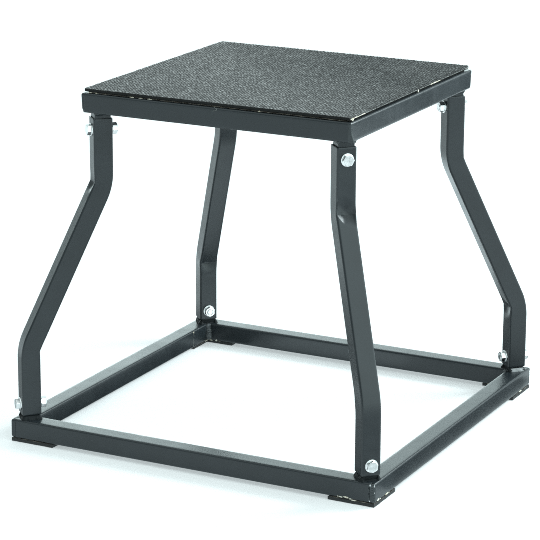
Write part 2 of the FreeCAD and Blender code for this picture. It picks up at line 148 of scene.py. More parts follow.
class Shape:
    """Collects vertices and faces of one piece."""

    def __init__(self):
        self.blocks, self.faces, self.count = [], [], 0

    def add(self, points, faces):
        points = np.asarray(points, float).reshape(-1, 3)
        n = self.count
        self.faces += [tuple(n + i for i in f) for f in faces]
        self.blocks.append(points)
        self.count += len(points)

    def loft(self, rings, closed=True, looped=False, caps=(True, True)):
        """Skin over rings of equal length. looped joins the last ring to the first."""
        rings = np.asarray(rings, float)
        n, m = rings.shape[:2]
        faces = []
        for i in range(n if looped else n - 1):
            for j in range(m if closed else m - 1):
                k = (j + 1) % m
                a, b = i * m, ((i + 1) % n) * m
                faces.append((a + j, a + k, b + k, b + j))
        if closed and not looped:
            if caps[0]:
                faces.append(tuple(reversed(range(m))))
            if caps[1]:
                faces.append(tuple(range((n - 1) * m, n * m)))
        self.add(rings.reshape(-1, 3), faces)

    def all(self):
        return np.concatenate(self.blocks)


def make(name, shape, material, nodes, sharp=38.0):
    """Turns a Shape into an object that rides on the frame and stands for those CAD nodes."""
    mesh = bpy.data.meshes.new(name)
    mesh.from_pydata((shape.all() * MM).tolist(), [], shape.faces)
    mesh.update()
    b = bmesh.new()
    b.from_mesh(mesh)
    bmesh.ops.recalc_face_normals(b, faces=b.faces)
    b.to_mesh(mesh)
    b.free()
    mesh.polygons.foreach_set("use_smooth", [True] * len(mesh.polygons))
    mesh.set_sharp_from_angle(angle=math.radians(sharp))
    mesh.materials.append(material)
    obj = bpy.data.objects.new(name, mesh)
    bpy.context.scene.collection.objects.link(obj)
    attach(obj, "root")
    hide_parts(*nodes)
    return obj


def splat(centre, along, up, out, length, height, thick, seed, spin=0.0):
    """A flat blob stuck to a face: rings of an uneven outline, domed outwards and sunk a little into the face."""
    rng = np.random.default_rng(seed)
    along, up, out = np.array(along, float), np.array(up, float), np.array(out, float)
    count = 30
    t = np.arange(count) / count
    r = 1 + 0.16 * ring_wander(t, seed, (2, 3, 5)) + 0.09 * ring_wander(t, seed + 1, (7, 9, 11))
    a = TAU * t
    x, y = 0.5 * length * r * np.cos(a), 0.5 * height * r * np.sin(a)
    x, y = x * math.cos(spin) - y * math.sin(spin), x * math.sin(spin) + y * math.cos(spin)
    hx, hy = rng.uniform(-0.15, 0.15) * length, rng.uniform(-0.1, 0.1) * height
    rings = []
    for f, h in ((0.97, -0.4), (1.0, 0.0), (0.93, 0.42), (0.75, 0.78), (0.5, 0.95), (0.22, 1.0), (0.04, 1.0)):
        e = thick * h if h > 0 else h
        px, py = x * f + hx * (1 - f), y * f + hy * (1 - f)
        rings.append(np.array(centre, float) + px[:, None] * along + py[:, None] * up + e * out)
    return np.array(rings)


def strand(points, radii, sides=8):
    """A thin round thread through those points."""
    points = np.array(points, float)
    tangent = np.gradient(points, axis=0)
    tangent /= np.linalg.norm(tangent, axis=1, keepdims=True)
    rings = []
    for q, d, r in zip(points, tangent, radii):
        e = np.cross(d, (0.3, 0.5, 0.81))
        e /= np.linalg.norm(e)
        f = np.cross(d, e)
        a = np.arange(sides) * TAU / sides
        rings.append(q + r * (np.cos(a)[:, None] * e + np.sin(a)[:, None] * f))
    return np.array(rings)


# ---------------------------------------------------------------- materials
def new_material(name):
    m = bpy.data.materials.new(name)
    m.use_nodes = True
    tree = m.node_tree
    return m, tree.nodes, tree.links, tree.nodes["Principled BSDF"]


def noise_node(nodes, links, where, scale, detail=2.0, rough=0.5, distort=0.0):
    n = nodes.new("ShaderNodeTexNoise")
    n.inputs["Scale"].default_value = scale
    n.inputs["Detail"].default_value = detail
    n.inputs["Roughness"].default_value = rough
    n.inputs["Distortion"].default_value = distort
    links.new(where, n.inputs["Vector"])
    return n.outputs["Fac"]


def stretched(nodes, links, where, scale):
    m = nodes.new("ShaderNodeMapping")
    m.inputs["Scale"].default_value = scale
    links.new(where, m.inputs["Vector"])
    return m.outputs["Vector"]


def ramp(nodes, links, fac, stops):
    r = nodes.new("ShaderNodeValToRGB")
    e = r.color_ramp.elements
    while len(e) < len(stops):
        e.new(0.5)
    for el, (pos, col) in zip(e, stops):
        el.position = pos
        el.color = (*col, 1) if len(col) == 3 else col
    links.new(fac, r.inputs["Fac"])
    return r.outputs["Color"]


def spread(nodes, links, fac, low, high, a=0.3, b=0.7):
    m = nodes.new("ShaderNodeMapRange")
    m.inputs["From Min"].default_value = a
    m.inputs["From Max"].default_value = b
    m.inputs["To Min"].default_value = low
    m.inputs["To Max"].default_value = high
    links.new(fac, m.inputs["Value"])
    return m.outputs["Result"]


def add_bump(nodes, links, height, strength, distance, before=None):
    n = nodes.new("ShaderNodeBump")
    n.inputs["Strength"].default_value = strength
    n.inputs["Distance"].default_value = distance
    links.new(height, n.inputs["Height"])
    if before is not None:
        links.new(before, n.inputs["Normal"])
    return n.outputs["Normal"]


def coat(name, dark, pale, rough_low, rough_high, peel=0.25, gloss=0.5):
    """Black powder coat: faint cloudiness, a fine orange peel and a few dusty specks."""
    m, nodes, links, bsdf = new_material(name)
    where = nodes.new("ShaderNodeTexCoord").outputs["Object"]
    cloud = noise_node(nodes, links, where, 26.0, 4.0, 0.6)
    grit = noise_node(nodes, links, where, 420.0, 2.0, 0.6)
    col = ramp(nodes, links, cloud, [(0.32, dark), (0.72, pale)])
    links.new(col, bsdf.inputs["Base Color"])
    mixed = nodes.new("ShaderNodeMath")
    mixed.operation = "MULTIPLY_ADD"
    mixed.inputs[1].default_value = 0.45
    links.new(grit, mixed.inputs[0])
    links.new(cloud, mixed.inputs[2])
    links.new(spread(nodes, links, mixed.outputs[0], rough_low, rough_high, 0.5, 0.95), bsdf.inputs["Roughness"])
    fine = noise_node(nodes, links, where, 900.0, 2.0, 0.55)
    broad = noise_node(nodes, links, where, 150.0, 2.0, 0.5)
    n1 = add_bump(nodes, links, broad, peel * 0.5, 0.0003)
    n2 = add_bump(nodes, links, fine, peel, 0.00012, n1)
    links.new(n2, bsdf.inputs["Normal"])
    bsdf.inputs["Specular IOR Level"].default_value = gloss
    return m


powder = coat("black_powder_coat", (0.0160, 0.0206, 0.0238), (0.0226, 0.0280, 0.0320), 0.26, 0.36)
weld_coat = coat("weld_bead_coat", (0.015, 0.020, 0.022), (0.050, 0.058, 0.062), 0.20, 0.34, 0.35)
# a paler coat: painted highlight for the welds inside the corners
weld_painted_highlight_coat = coat("weld_bead_painted_highlight_coat", (0.040, 0.046, 0.050), (0.105, 0.112, 0.118), 0.22, 0.36, 0.35)
weld_scraped = coat("weld_bead_scraped_coat", (0.07, 0.075, 0.08), (0.46, 0.47, 0.48), 0.3, 0.45, 0.35)
# a darker, duller coat: painted shade for the stubs and welds at the feet of the legs
weld_painted_shade_coat = coat("weld_bead_painted_shade_coat", (0.005, 0.007, 0.008), (0.013, 0.016, 0.018), 0.5, 0.68, 0.3, 0.2)


def bare_material():
    """Bare steel where the coat has chipped off the end of a weld."""
    m, nodes, links, bsdf = new_material("chipped_weld")
    where = nodes.new("ShaderNodeTexCoord").outputs["Object"]
    cloud = noise_node(nodes, links, where, 900.0, 3.0, 0.6)
    links.new(ramp(nodes, links, cloud, [(0.3, (0.42, 0.43, 0.43)), (0.7, (0.86, 0.87, 0.87))]), bsdf.inputs["Base Color"])
    links.new(spread(nodes, links, cloud, 0.3, 0.5), bsdf.inputs["Roughness"])
    links.new(add_bump(nodes, links, cloud, 0.4, 0.0002), bsdf.inputs["Normal"])
    bsdf.inputs["Metallic"].default_value = 1.0
    return m


bare = bare_material()


def zinc_material():
    m, nodes, links, bsdf = new_material("zinc_plated_steel")
    where = nodes.new("ShaderNodeTexCoord").outputs["Object"]
    cloud = noise_node(nodes, links, where, 170.0, 3.0, 0.6)
    links.new(ramp(nodes, links, cloud, [(0.3, (0.86, 0.87, 0.87)), (0.7, (0.97, 0.97, 0.97))]), bsdf.inputs["Base Color"])
    links.new(spread(nodes, links, cloud, 0.16, 0.32), bsdf.inputs["Roughness"])
    fine = noise_node(nodes, links, where, 1500.0, 2.0, 0.6)
    links.new(add_bump(nodes, links, fine, 0.12, 0.00008), bsdf.inputs["Normal"])
    bsdf.inputs["Metallic"].default_value = 1.0
    return m


zinc = zinc_material()


def tread_material():
    """Grained rubber: the pebbles' tops are painted pale, a painted sheen, and the gaps between them are painted dark,
    painted shade, and dull.
    """
    m, nodes, links, bsdf = new_material("tread_rubber")
    where = nodes.new("ShaderNodeTexCoord").outputs["Object"]
    pebble_sheen_and_shade = nodes.new("ShaderNodeAttribute")
    pebble_sheen_and_shade.attribute_name = "grain"
    speck = noise_node(nodes, links, where, 620.0, 2.0, 0.7)
    cloud = noise_node(nodes, links, where, 14.0, 4.0, 0.6)
    tone = nodes.new("ShaderNodeMath")
    tone.operation = "MULTIPLY_ADD"
    tone.inputs[1].default_value = 0.4
    links.new(speck, tone.inputs[0])
    links.new(pebble_sheen_and_shade.outputs["Fac"], tone.inputs[2])
    # the grain value becomes colour: dark gaps are painted shade, pale tops are painted sheen
    a = ramp(nodes, links, spread(nodes, links, tone.outputs[0], 0.0, 1.0, 0.2, 1.2), [(0.14, (0.008, 0.008, 0.008)), (0.36, (0.073, 0.073, 0.073)), (0.60, (0.212, 0.213, 0.211)), (1.0, (0.375, 0.376, 0.372))])
    # evenly darker and less glossy towards the +X +Y corner
    toward = nodes.new("ShaderNodeVectorMath")
    toward.operation = "DOT_PRODUCT"
    toward.inputs[1].default_value = (1.0, 1.0, 0.0)
    links.new(where, toward.inputs[0])
    corner_tone = nodes.new("ShaderNodeMath")
    corner_tone.operation = "SUBTRACT"
    links.new(cloud, corner_tone.inputs[0])
    links.new(spread(nodes, links, toward.outputs["Value"], -0.45, 0.40, -0.09, 0.20), corner_tone.inputs[1])
    b = ramp(nodes, links, corner_tone.outputs[0], [(0.0, (0.42, 0.434, 0.438)), (1.0, (0.92, 0.92, 0.92))])
    mix = nodes.new("ShaderNodeMix")
    mix.data_type = "RGBA"
    mix.blend_type = "MULTIPLY"
    mix.inputs["Factor"].default_value = 1.0
    links.new(a, mix.inputs["A"])
    links.new(b, mix.inputs["B"])
    links.new(mix.outputs["Result"], bsdf.inputs["Base Color"])
    links.new(spread(nodes, links, pebble_sheen_and_shade.outputs["Fac"], 0.70, 0.50, 0.2, 0.9), bsdf.inputs["Roughness"])
    fine = noise_node(nodes, links, where, 1300.0, 2.0, 0.6)
    links.new(add_bump(nodes, links, fine, 0.25, 0.0002), bsdf.inputs["Normal"])
    links.new(spread(nodes, links, toward.outputs["Value"], 0.25, 0.12, -0.02, 0.20), bsdf.inputs["Specular IOR Level"])
    return m


tread = tread_material()


def cut_rubber(name, dark, pale, low, high, gloss=0.5):
    """Plain rubber as it comes off the knife: fine drag marks and a little chalky bloom."""
    m, nodes, links, bsdf = new_material(name)
    where = nodes.new("ShaderNodeTexCoord").outputs["Object"]
    cloud = noise_node(nodes, links, where, 60.0, 4.0, 0.65)
    drag = noise_node(nodes, links, stretched(nodes, links, where, (1, 1, 0.15)), 1100.0, 2.0, 0.6)
    links.new(ramp(nodes, links, cloud, [(0.3, dark), (0.72, pale)]), bsdf.inputs["Base Color"])
    links.new(spread(nodes, links, cloud, low, high), bsdf.inputs["Roughness"])
    links.new(add_bump(nodes, links, drag, 0.3, 0.0002), bsdf.inputs["Normal"])
    bsdf.inputs["Specular IOR Level"].default_value = gloss
    return m


mat_side = cut_rubber("tread_cut_edge", (0.006, 0.0065, 0.0065), (0.014, 0.0145, 0.014), 0.55, 0.7, 0.2)
foot_rubber = cut_rubber("foot_rubber", (0.010, 0.011, 0.011), (0.019, 0.020, 0.020), 0.45, 0.62)


def glue_material():
    """Dried contact adhesive: cream in spots, tea brown to near black between them, painted shade for glue lying in the
    shade under the mat's edge.
    """
    m, nodes, links, bsdf = new_material("dried_adhesive_painted_shade")
    where = nodes.new("ShaderNodeTexCoord").outputs["Object"]
    blot = noise_node(nodes, links, where, 75.0, 5.0, 0.7, 0.4)
    links.new(
        ramp(nodes, links, blot, [(0.34, (0.015, 0.012, 0.010)), (0.50, (0.050, 0.043, 0.036)), (0.62, (0.16, 0.143, 0.118)), (0.76, (0.46, 0.435, 0.37))]),
        bsdf.inputs["Base Color"],
    )
    links.new(spread(nodes, links, blot, 0.30, 0.55), bsdf.inputs["Roughness"])
    fine = noise_node(nodes, links, where, 700.0, 3.0, 0.6)
    links.new(add_bump(nodes, links, fine, 0.4, 0.0003), bsdf.inputs["Normal"])
    return m


glue_painted_shade = glue_material()


def cream_material():
    """The same where it was squeezed out thick: cream with yellower and dirtier spots."""
    m, nodes, links, bsdf = new_material("squeezed_adhesive")
    where = nodes.new("ShaderNodeTexCoord").outputs["Object"]
    blot = noise_node(nodes, links, where, 210.0, 4.0, 0.65, 0.3)
    links.new(ramp(nodes, links, blot, [(0.30, (0.20, 0.15, 0.09)), (0.42, (0.60, 0.53, 0.40)), (0.62, (0.82, 0.79, 0.70))]), bsdf.inputs["Base Color"])
    links.new(spread(nodes, links, blot, 0.28, 0.5), bsdf.inputs["Roughness"])
    fine = noise_node(nodes, links, where, 900.0, 3.0, 0.6)
    links.new(add_bump(nodes, links, fine, 0.4, 0.0003), bsdf.inputs["Normal"])
    return m


cream = cream_material()


def film_material():
    """The same where it was wiped to a thin grey film, pale enough to be a painted highlight as well along the mat's
    right edge.
    """
    m, nodes, links, bsdf = new_material("wiped_adhesive_and_sheen")
    where = nodes.new("ShaderNodeTexCoord").outputs["Object"]
    blot = noise_node(nodes, links, where, 160.0, 4.0, 0.65, 0.2)
    links.new(ramp(nodes, links, blot, [(0.32, (0.12, 0.12, 0.11)), (0.5, (0.34, 0.35, 0.33)), (0.7, (0.58, 0.59, 0.56))]), bsdf.inputs["Base Color"])
    links.new(spread(nodes, links, blot, 0.30, 0.5), bsdf.inputs["Roughness"])
    fine = noise_node(nodes, links, where, 900.0, 3.0, 0.6)
    links.new(add_bump(nodes, links, fine, 0.3, 0.0002), bsdf.inputs["Normal"])
    return m


glue_film_and_sheen = film_material()

# CAD pieces whose own shape is right keep it and take a finish
for name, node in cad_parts.items():
    # the base stubs take the darker coat, painted shade
    finish = glue_painted_shade if "adhesive" in name else weld_coat if "weld" in name else weld_painted_shade_coat if "base_spigot" in name else powder
    node.data.materials.clear()
    node.data.materials.append(finish)


# ---------------------------------------------------------------- the two rings of mitred tube
# how far the outer tips are cut back for the corner welds, corner by corner: on the rail before it and on the next
TIPS = {"base": ((8.2, 2.4), (3.6, 5.0), (4.6, 4.0), (5.2, 6.4)), "top": ((4.4, 4.4),) * 4}


def rail(side, low, seed, tip_start, tip_end):
    """One rail along X on the -Y side, mitred at both ends, with its tips cut back and its cut edges eased."""
    half = side / 2
    section = rounded_section(HALF_TUBE, EDGE)
    out, up = section[:, 0], section[:, 1]
    depth = HALF_TUBE - out
    first = np.minimum(half - depth, half - tip_start + depth)
    end = np.minimum(half - depth, half - tip_end + depth)
    middle = half - HALF_TUBE
    last = half - TUBE - 5
    stations = np.linspace(-last, last, 2 * int(last / 11) + 1)
    normal_out, normal_up = out / np.hypot(out, up), up / np.hypot(out, up)

    def ring(x, shrink, wave):
        o, u = out * (1 - shrink / HALF_TUBE) + wave * normal_out, up * (1 - shrink / HALF_TUBE) + wave * normal_up
        return np.stack([np.broadcast_to(x, o.shape), -middle - o, low + HALF_TUBE + u], 1)

    angle = np.arctan2(up, out)
    rings = [ring(-first, 0.32, 0 * out), ring(-first + 0.45, 0.06, 0 * out), ring(-first + 1.0, 0.0, 0 * out)]
    for x in stations:
        t = x / 90.0
        wave = -0.02 + 0.03 * wander(t, seed) * np.cos(2 * angle + 1.3) + 0.03 * wander(t, seed + 1) * np.sin(angle + 0.4)
        rings.append(ring(x, 0.0, np.minimum(wave, 0.0)))
    rings += [ring(end - 1.0, 0.0, 0 * out), ring(end - 0.45, 0.06, 0 * out), ring(end, 0.32, 0 * out)]
    return np.array(rings)


for group, side, low in (("base", BASE, BASE_LOW), ("top", TOP, TOP_LOW)):
    for k, (where, turn) in enumerate(SIDES):
        s = Shape()
        s.loft(turned(rail(side, low, 11 * k + (3 if group == "base" else 57), TIPS[group][k - 1][1], TIPS[group][k][0]), turn))
        make(f"{group}_rail_{where}_tube", s, powder, [f"{group}_rail_{where}"])


def tip_bead(side, low, seed, rough, ends, tips, taper, square, flare):
    """The weld down an outer corner, at +X -Y: a run bead that fills between the two cut tips, with a ragged seam each side."""
    half = side / 2
    z = np.linspace(low + 0.2, low + TUBE - 0.2, 96)
    t = (z - low) / TUBE
    rng = np.random.default_rng(seed)
    drift = rng.uniform(0, TAU)
    ragged = 0.8 + 0.35 * wander(t * 5.0, seed + 11), 0.8 + 0.45 * wander(t * 6.0, seed + 12)
    sway = 0.05 * wander(t * 3.0, seed + 13), 0.05 * wander(t * 3.0, seed + 14)
    angles = np.unique(np.concatenate([np.linspace(0, 0.42, 11), np.linspace(0.42, math.pi / 2 - 0.42, 9), np.linspace(math.pi / 2 - 0.42, math.pi / 2, 11)]))
    foot = flare * smooth(0.7 - t, 0.0, 0.7) ** 1.3
    rows = []
    for i, h in enumerate(z):
        radius = ends[0] if h < low + HALF_TUBE else ends[1]
        d = abs(h - (low + HALF_TUBE)) - (HALF_TUBE - radius)
        inset = 0.0 if d <= 0 else radius - math.sqrt(max(radius * radius - d * d, 0.0))
        scallop = abs(math.sin(math.pi * (h - low) / 2.4 + 0.8 * math.sin(1.7 * t[i] * TAU + drift)))
        lump = float(wander(t[i] * 2.2, seed + 5))
        row = []
        for a in angles:
            full = 1 / (math.cos(a) ** square + math.sin(a) ** square) ** (1 / square)
            seam = bump(a, 0.12 + sway[0][i], 0.10) * ragged[0][i] + bump(a, math.pi / 2 - 0.16 + sway[1][i], 0.13) * ragged[1][i]
            mid = math.sin(2 * a) ** 2
            less = rough * (1.5 * max(seam, 0.0) + 0.30 * (1 - scallop) * mid + 0.16 * (1 + lump) * mid + 0.10 * mid * (1 + math.sin(6 * a + 9 * t[i] * TAU + drift))) + inset + taper * (1 - t[i])
            spread = float(foot[i] * smooth(a, 0.1, 0.7) * smooth(math.pi / 2 - a, 0.0, 0.35))
            row.append((half - tips[0] + max(full * tips[0] - less, 0.3) * math.sin(a) + spread, -half + tips[1] - max(full * tips[1] - less, 0.3) * math.cos(a), h))
        row.append((half - tips[0] - 0.8, -half + tips[1] + 0.8, h))
        rows.append(row)
    return np.array(rows)


def chips(side, low, tips, seed, count):
    """Bare spots at the ends of an outer corner's two seams, flush with the coat."""
    half = side / 2
    rng = np.random.default_rng(seed)
    out = (0.7071, -0.7071, 0)
    spots = [
        splat((half - tips[0] + 2.2, -half + 0.1, low + TUBE - 2.2), (1, 0, 0), (0, 0, 1), (0, -1, 0), 1.7, 2.6, 0.12, seed),
        splat((half - 0.55, -half + 0.55, low + TUBE - 2.6), (0.7071, 0.7071, 0), (0, 0, 1), out, 1.5, 2.4, 0.45, seed + 1),
        splat((half - tips[0] + 1.6, -half + 0.1, low + 2.6), (1, 0, 0), (0, 0, 1), (0, -1, 0), 1.4, 2.2, 0.12, seed + 2),
        splat((half - 0.55, -half + 0.55, low + rng.uniform(8, 15)), (0.7071, 0.7071, 0), (0, 0, 1), out, 1.0, 1.6, 0.4, seed + 3),
    ]
    return spots[:count]


def throat_bead(side, low, seed, size):
    """The weld down an inner corner, at +X -Y of the ring: a lumpy run of uneven width, thickest at its upper end."""
    p = side / 2 - TUBE
    z = np.linspace(low + 0.3, low + TUBE + 0.1, 80)
    t = (z - low) / TUBE
    rng = np.random.default_rng(seed)
    wide = size * (1 + 0.15 * wander(t * 2.0, seed) + 0.10 * np.abs(np.sin(math.pi * (z - low) / 3.1 + seed)))
    wide = wide + 0.9 * bump(t, 0.90, 0.07) + 0.8 * bump(t, rng.uniform(0.4, 0.6), 0.06) + 0.5 * bump(t, rng.uniform(0.1, 0.3), 0.05)
    wide *= 0.35 + 0.65 * np.minimum(smooth(t, -0.02, 0.10), smooth(1.02 - t, 0.0, 0.07))
    lean = 1.6 * wander(t * 1.6, seed + 9)
    rows = []
    for i, h in enumerate(z):
        row = [(p + 0.9, -p - 0.9, h)]
        for a in np.linspace(0, math.pi / 2, 13):
            r = wide[i] * (1 - 0.14 * math.sin(2 * a) + 0.12 * lean[i] * math.cos(2 * a) + 0.03 * math.sin(7 * a + 3 * h))
            row.append((p - r * math.cos(a), -p + r * math.sin(a), h))
        rows.append(row)
    return np.array(rows)


def finishes(obj, counts, *others):
    """The faces after the first counts[0] take the next finish, and so on."""
    index = np.zeros(len(obj.data.polygons), np.int32)
    for k, (start, finish) in enumerate(zip(counts, others)):
        obj.data.materials.append(finish)
        index[start:] = k + 1
    obj.data.polygons.foreach_set("material_index", index)


# corner by corner: roughness of the outer weld, rounding of its lower and upper end, how far it leans in below, how square it is,
# how far its foot spreads past the next rail
CORNER_WELDS = {
    "base": ((1.0, (3.0, 2.8), 0.0, 4.4, 0.0), (0.6, (3.4, 3.0), 0.0, 4.4, 0.0), (0.6, (3.4, 3.0), 0.0, 4.4, 0.0), (0.05, (3.6, 3.2), 0.0, 9.0, 0.0)),
    "top": ((0.3, (1.8, 2.6), 0.0, 4.4, 3.6), (0.15, (4.0, 2.2), 1.2, 9.0, 0.0), (0.3, (4.2, 2.6), 0.8, 4.4, 0.0), (0.15, (6.0, 3.0), 1.2, 7.0, 0.0)),
}
for group, side, low, size in (("base", BASE, BASE_LOW, 4.5), ("top", TOP, TOP_LOW, 3.4)):
    s = Shape()
    for k, (rough, ends, taper, square, flare) in enumerate(CORNER_WELDS[group]):
        if k == 3:
            run = len(s.faces)
        s.loft(turned(tip_bead(side, low, 2 * k + 1, rough, ends, TIPS[group][k], taper, square, flare), 90 * k))
    outer = len(s.faces)
    for k in range(4):
        s.loft(turned(throat_bead(side, low, 31 + 7 * k, size), 90 * k))
    coated = len(s.faces)
    if group == "base":
        for k, count in enumerate((4, 2, 2)):
            for spot in chips(side, low, TIPS[group][k], 851 + 5 * k, count):
                s.loft(turned(spot, 90 * k))
    obj = make(f"{group}_corner_weld_beads", s, weld_coat, [f"{group}_corner_welds"], 50)
    # the weld at the left corner is ground smooth under the coat, those inside the corners take a paler coat, a painted
    # highlight
    finishes(obj, (run, outer, coated), powder, weld_painted_highlight_coat, bare)


# ---------------------------------------------------------------- welds round the stubs
def collar_bead(r, z, up, angle, seed, inner, size):
    """Fillet weld round a stub that stands on (or hangs from) a ring corner: heavy on its two flanks, thin in front."""
    section = rounded_section(SPIGOT / 2, 1.5, 30, 8)
    m = len(section)
    t = np.arange(m) / m
    nxt, prv = np.roll(section, -1, 0), np.roll(section, 1, 0)
    tangent = nxt - prv
    normal = np.stack([tangent[:, 1], -tangent[:, 0]], 1)
    normal /= np.linalg.norm(normal, axis=1, keepdims=True)
    along = np.concatenate([[0], np.cumsum(np.linalg.norm(nxt - section, axis=1))])[:-1]
    length = along[-1] + np.linalg.norm(section[0] - section[-1])
    waves = round(length / 4.2)
    scallop = np.abs(np.sin(math.pi * waves * along / length + 0.7 * ring_wander(t, seed, (2, 3))))
    flank = smooth(np.abs(section[:, 1]), 7.5, 10.4)
    uneven = 1 + 0.18 * ring_wander(t, seed + 1, (1, 2, 3, 5)) + 0.05 * ring_wander(t, seed + 2, (7, 11, 17)) - 0.04 + 0.05 * scallop
    wide = size * (0.46 + 0.44 * flank) * uneven
    tall = size * (0.40 + 0.95 * flank) * (1 + 0.16 * ring_wander(t, seed + 3, (2, 3, 4, 7)) - 0.03 + 0.03 * scallop)
    # the middle of the inner face stands over the inner corner of the ring, with nothing under it to weld to
    over = inner - np.abs(section[:, 1]) - (r + section[:, 0])
    less = 1 - 0.72 * smooth(over, -1.0, 2.2) * (section[:, 0] < 0)
    wide, tall = wide * less, np.minimum(tall * less, 6.2)
    # and no weld hangs over the ring's outer faces
    lean_out = normal[:, 0] + np.abs(normal[:, 1])
    room = math.sqrt(2) * (inner / math.sqrt(2) + TUBE - 0.5) - (r + section[:, 0] + np.abs(section[:, 1]))
    wide = np.where(lean_out > 0.2, np.minimum(wide, room / np.maximum(lean_out, 0.2)), wide)
    rings = []
    for i in range(m):
        ring = [(section[i] - 0.5 * normal[i], -0.4)]
        for a in np.linspace(0, math.pi / 2, 10):
            bulge = 1 - 0.16 * math.sin(2 * a) + 0.03 * math.sin(5 * a + 0.5 * along[i])
            ring.append((section[i] + normal[i] * wide[i] * bulge * math.cos(a), tall[i] * bulge * math.sin(a)))
        rings.append([(r + q[0], q[1], z + (h if up else -h)) for q, h in ring])
    return turned(np.array(rings), angle)


for group, r, z, up, side, size in (("base", R_LOW, BASE_HIGH, True, BASE, 4.2), ("top", R_HIGH, TOP_LOW, False, TOP, 2.6)):
    s = Shape()
    for k, (where, angle) in enumerate(CORNERS):
        s.loft(collar_bead(r, z, up, angle, 5 + 13 * k + (0 if up else 101), math.sqrt(2) * (side / 2 - TUBE), size), looped=True)
    # the base stub welds take the darker coat, painted shade; the top ones the plain weld coat
    obj = make(f"{group}_stub_weld_beads", s, weld_painted_shade_coat if up else weld_coat, [f"{group}_spigot_welds"], 70)
    if up:
        # the coat has come off the weld on one flank of the right-hand stub
        middle = np.empty(3 * len(obj.data.polygons))
        obj.data.polygons.foreach_get("center", middle)
        x, y, h = middle.reshape(-1, 3).T / MM
        along, across = (x + y) / math.sqrt(2) - R_LOW, (y - x) / math.sqrt(2)
        obj.data.materials.append(weld_scraped)
        obj.data.polygons.foreach_set("material_index", ((across < -SPIGOT / 2 - 0.3) & (h < BASE_HIGH + 4.4) & (np.abs(along - 0.6) < 8.4 + 0.8 * np.sin(2.1 * h))).astype(np.int32))


def stitch_bead(middle, seed):
    """A short run under the deck, along the inner face of the -Y rail of the top ring."""
    x = np.linspace(middle - 20.5, middle + 20.5, 90)
    t = (x - middle) / 41.0 + 0.5
    size = 4.0 * (1 + 0.10 * wander(t * 3, seed) - 0.06 + 0.10 * np.abs(np.sin(math.pi * x / 2.9)))
    size *= 0.25 + 0.75 * np.minimum(smooth(t, -0.01, 0.09), smooth(1.01 - t, 0.0, 0.06))
    face = -(TOP / 2 - TUBE)
    rows = []
    for i, h in enumerate(x):
        row = [(h, face - 2.6, TOP_HIGH - 0.02), (h, face - 0.3, TOP_HIGH - 2.0)]
        for a in np.linspace(0, math.pi / 2, 10):
            r = size[i] * (1 - 0.16 * math.sin(2 * a))
            row.append((h, face + r * math.sin(a), TOP_HIGH - r * math.cos(a)))
        row[-1] = (h, row[-1][1], TOP_HIGH - 0.02)
        rows.append(row)
    return np.array(rows)


s = Shape()
for k in range(4):
    for n, middle in enumerate((-80.0, 80.0)):
        s.loft(turned(stitch_bead(middle, 611 + 2 * k + n), 90 * k))
make("deck_stitch_weld_beads", s, weld_coat, ["deck_stitch_welds"], 60)


# ---------------------------------------------------------------- bent legs
lean = math.atan2(R_LOW - R_HIGH, BEND_HIGH - BEND_LOW)
reach = BEND_RADIUS * math.tan(lean / 2)
arc = BEND_RADIUS * lean
slant = math.hypot(R_LOW - R_HIGH, BEND_HIGH - BEND_LOW) - 2 * reach
S1 = BEND_LOW - reach - LEG_LOW  # start of the lower bend
S2 = S1 + arc
S3 = S2 + slant
S4 = S3 + arc
LEG_LENGTH = S4 + LEG_HIGH - BEND_HIGH - reach


def leg_axis(s):
    """(r, z, lean) of the leg's axis at a distance s from its lower end."""
    if s <= S1:
        return R_LOW, LEG_LOW + s, 0.0
    if s <= S2:
        a = (s - S1) / BEND_RADIUS
        return R_LOW - BEND_RADIUS * (1 - math.cos(a)), LEG_LOW + S1 + BEND_RADIUS * math.sin(a), a
    r2 = R_LOW - BEND_RADIUS * (1 - math.cos(lean))
    z2 = LEG_LOW + S1 + BEND_RADIUS * math.sin(lean)
    if s <= S3:
        return r2 - (s - S2) * math.sin(lean), z2 + (s - S2) * math.cos(lean), lean
    r3, z3 = r2 - slant * math.sin(lean), z2 + slant * math.cos(lean)
    if s <= S4:
        a = lean - (s - S3) / BEND_RADIUS
        return r3 - BEND_RADIUS * (math.cos(a) - math.cos(lean)), z3 + BEND_RADIUS * (math.sin(lean) - math.sin(a)), a
    return R_HIGH, LEG_HIGH - (LEG_LENGTH - s), 0.0


def crush(across, x, deep, curl, side):
    """Depth of the crush on the inside of a bend: the face above rolls in to a bowed crease, and rises again below it."""
    q = x + curl * (1 - (across / 11.0) ** 2)
    trough = np.where(q > 0, np.exp(-(np.abs(q / 14.0) ** 1.6)), np.exp(-((q / 8.5) ** 2)))
    w = side * across
    return deep * trough * smooth(w, -12.4, -5.0) * (1 - 0.72 * smooth(w, -2.0, 12.0)) - 0.3 * np.exp(-(((x + curl + 17) / 5.0) ** 2)) * np.clip(1 - (across / 11) ** 2, 0, 1)


def soft_min(a, b, k):
    h = np.clip(0.5 + 0.5 * (b - a) / k, 0, 1)
    return b * (1 - h) + a * h - k * h * (1 - h)


def pinch(across, x, deep, curl, side):
    """Depth of a deeper crush: a tongue rolled in from above, with a flat left wall and a rising floor below it."""
    u = side * across
    soft = smooth(u, -5.0, 6.0)
    left = 0.53 * (u + 11.0) + 0.25 * (x + 2.83)
    below = curl * (x + 16.2) + 0.16 * (u + 2.0)
    above = deep * np.exp(-((np.maximum(x + 0.8, 0) / 17.4) ** 2)) * (1 - 0.3 * smooth(u, -1.0, 12.0))
    d = soft_min(soft_min(left, below, 1.3), above, 2.2 + 1.8 * soft)
    d = -soft_min(-d, 0 * d, 0.5 + 2.5 * soft) - 0.125 - 0.625 * soft
    return np.maximum(d, 0) * smooth(u, -12.4, -10.6) * smooth(-u, -12.4, -9.0) * (1 - 0.45 * smooth(u, 4.0, 12.0))


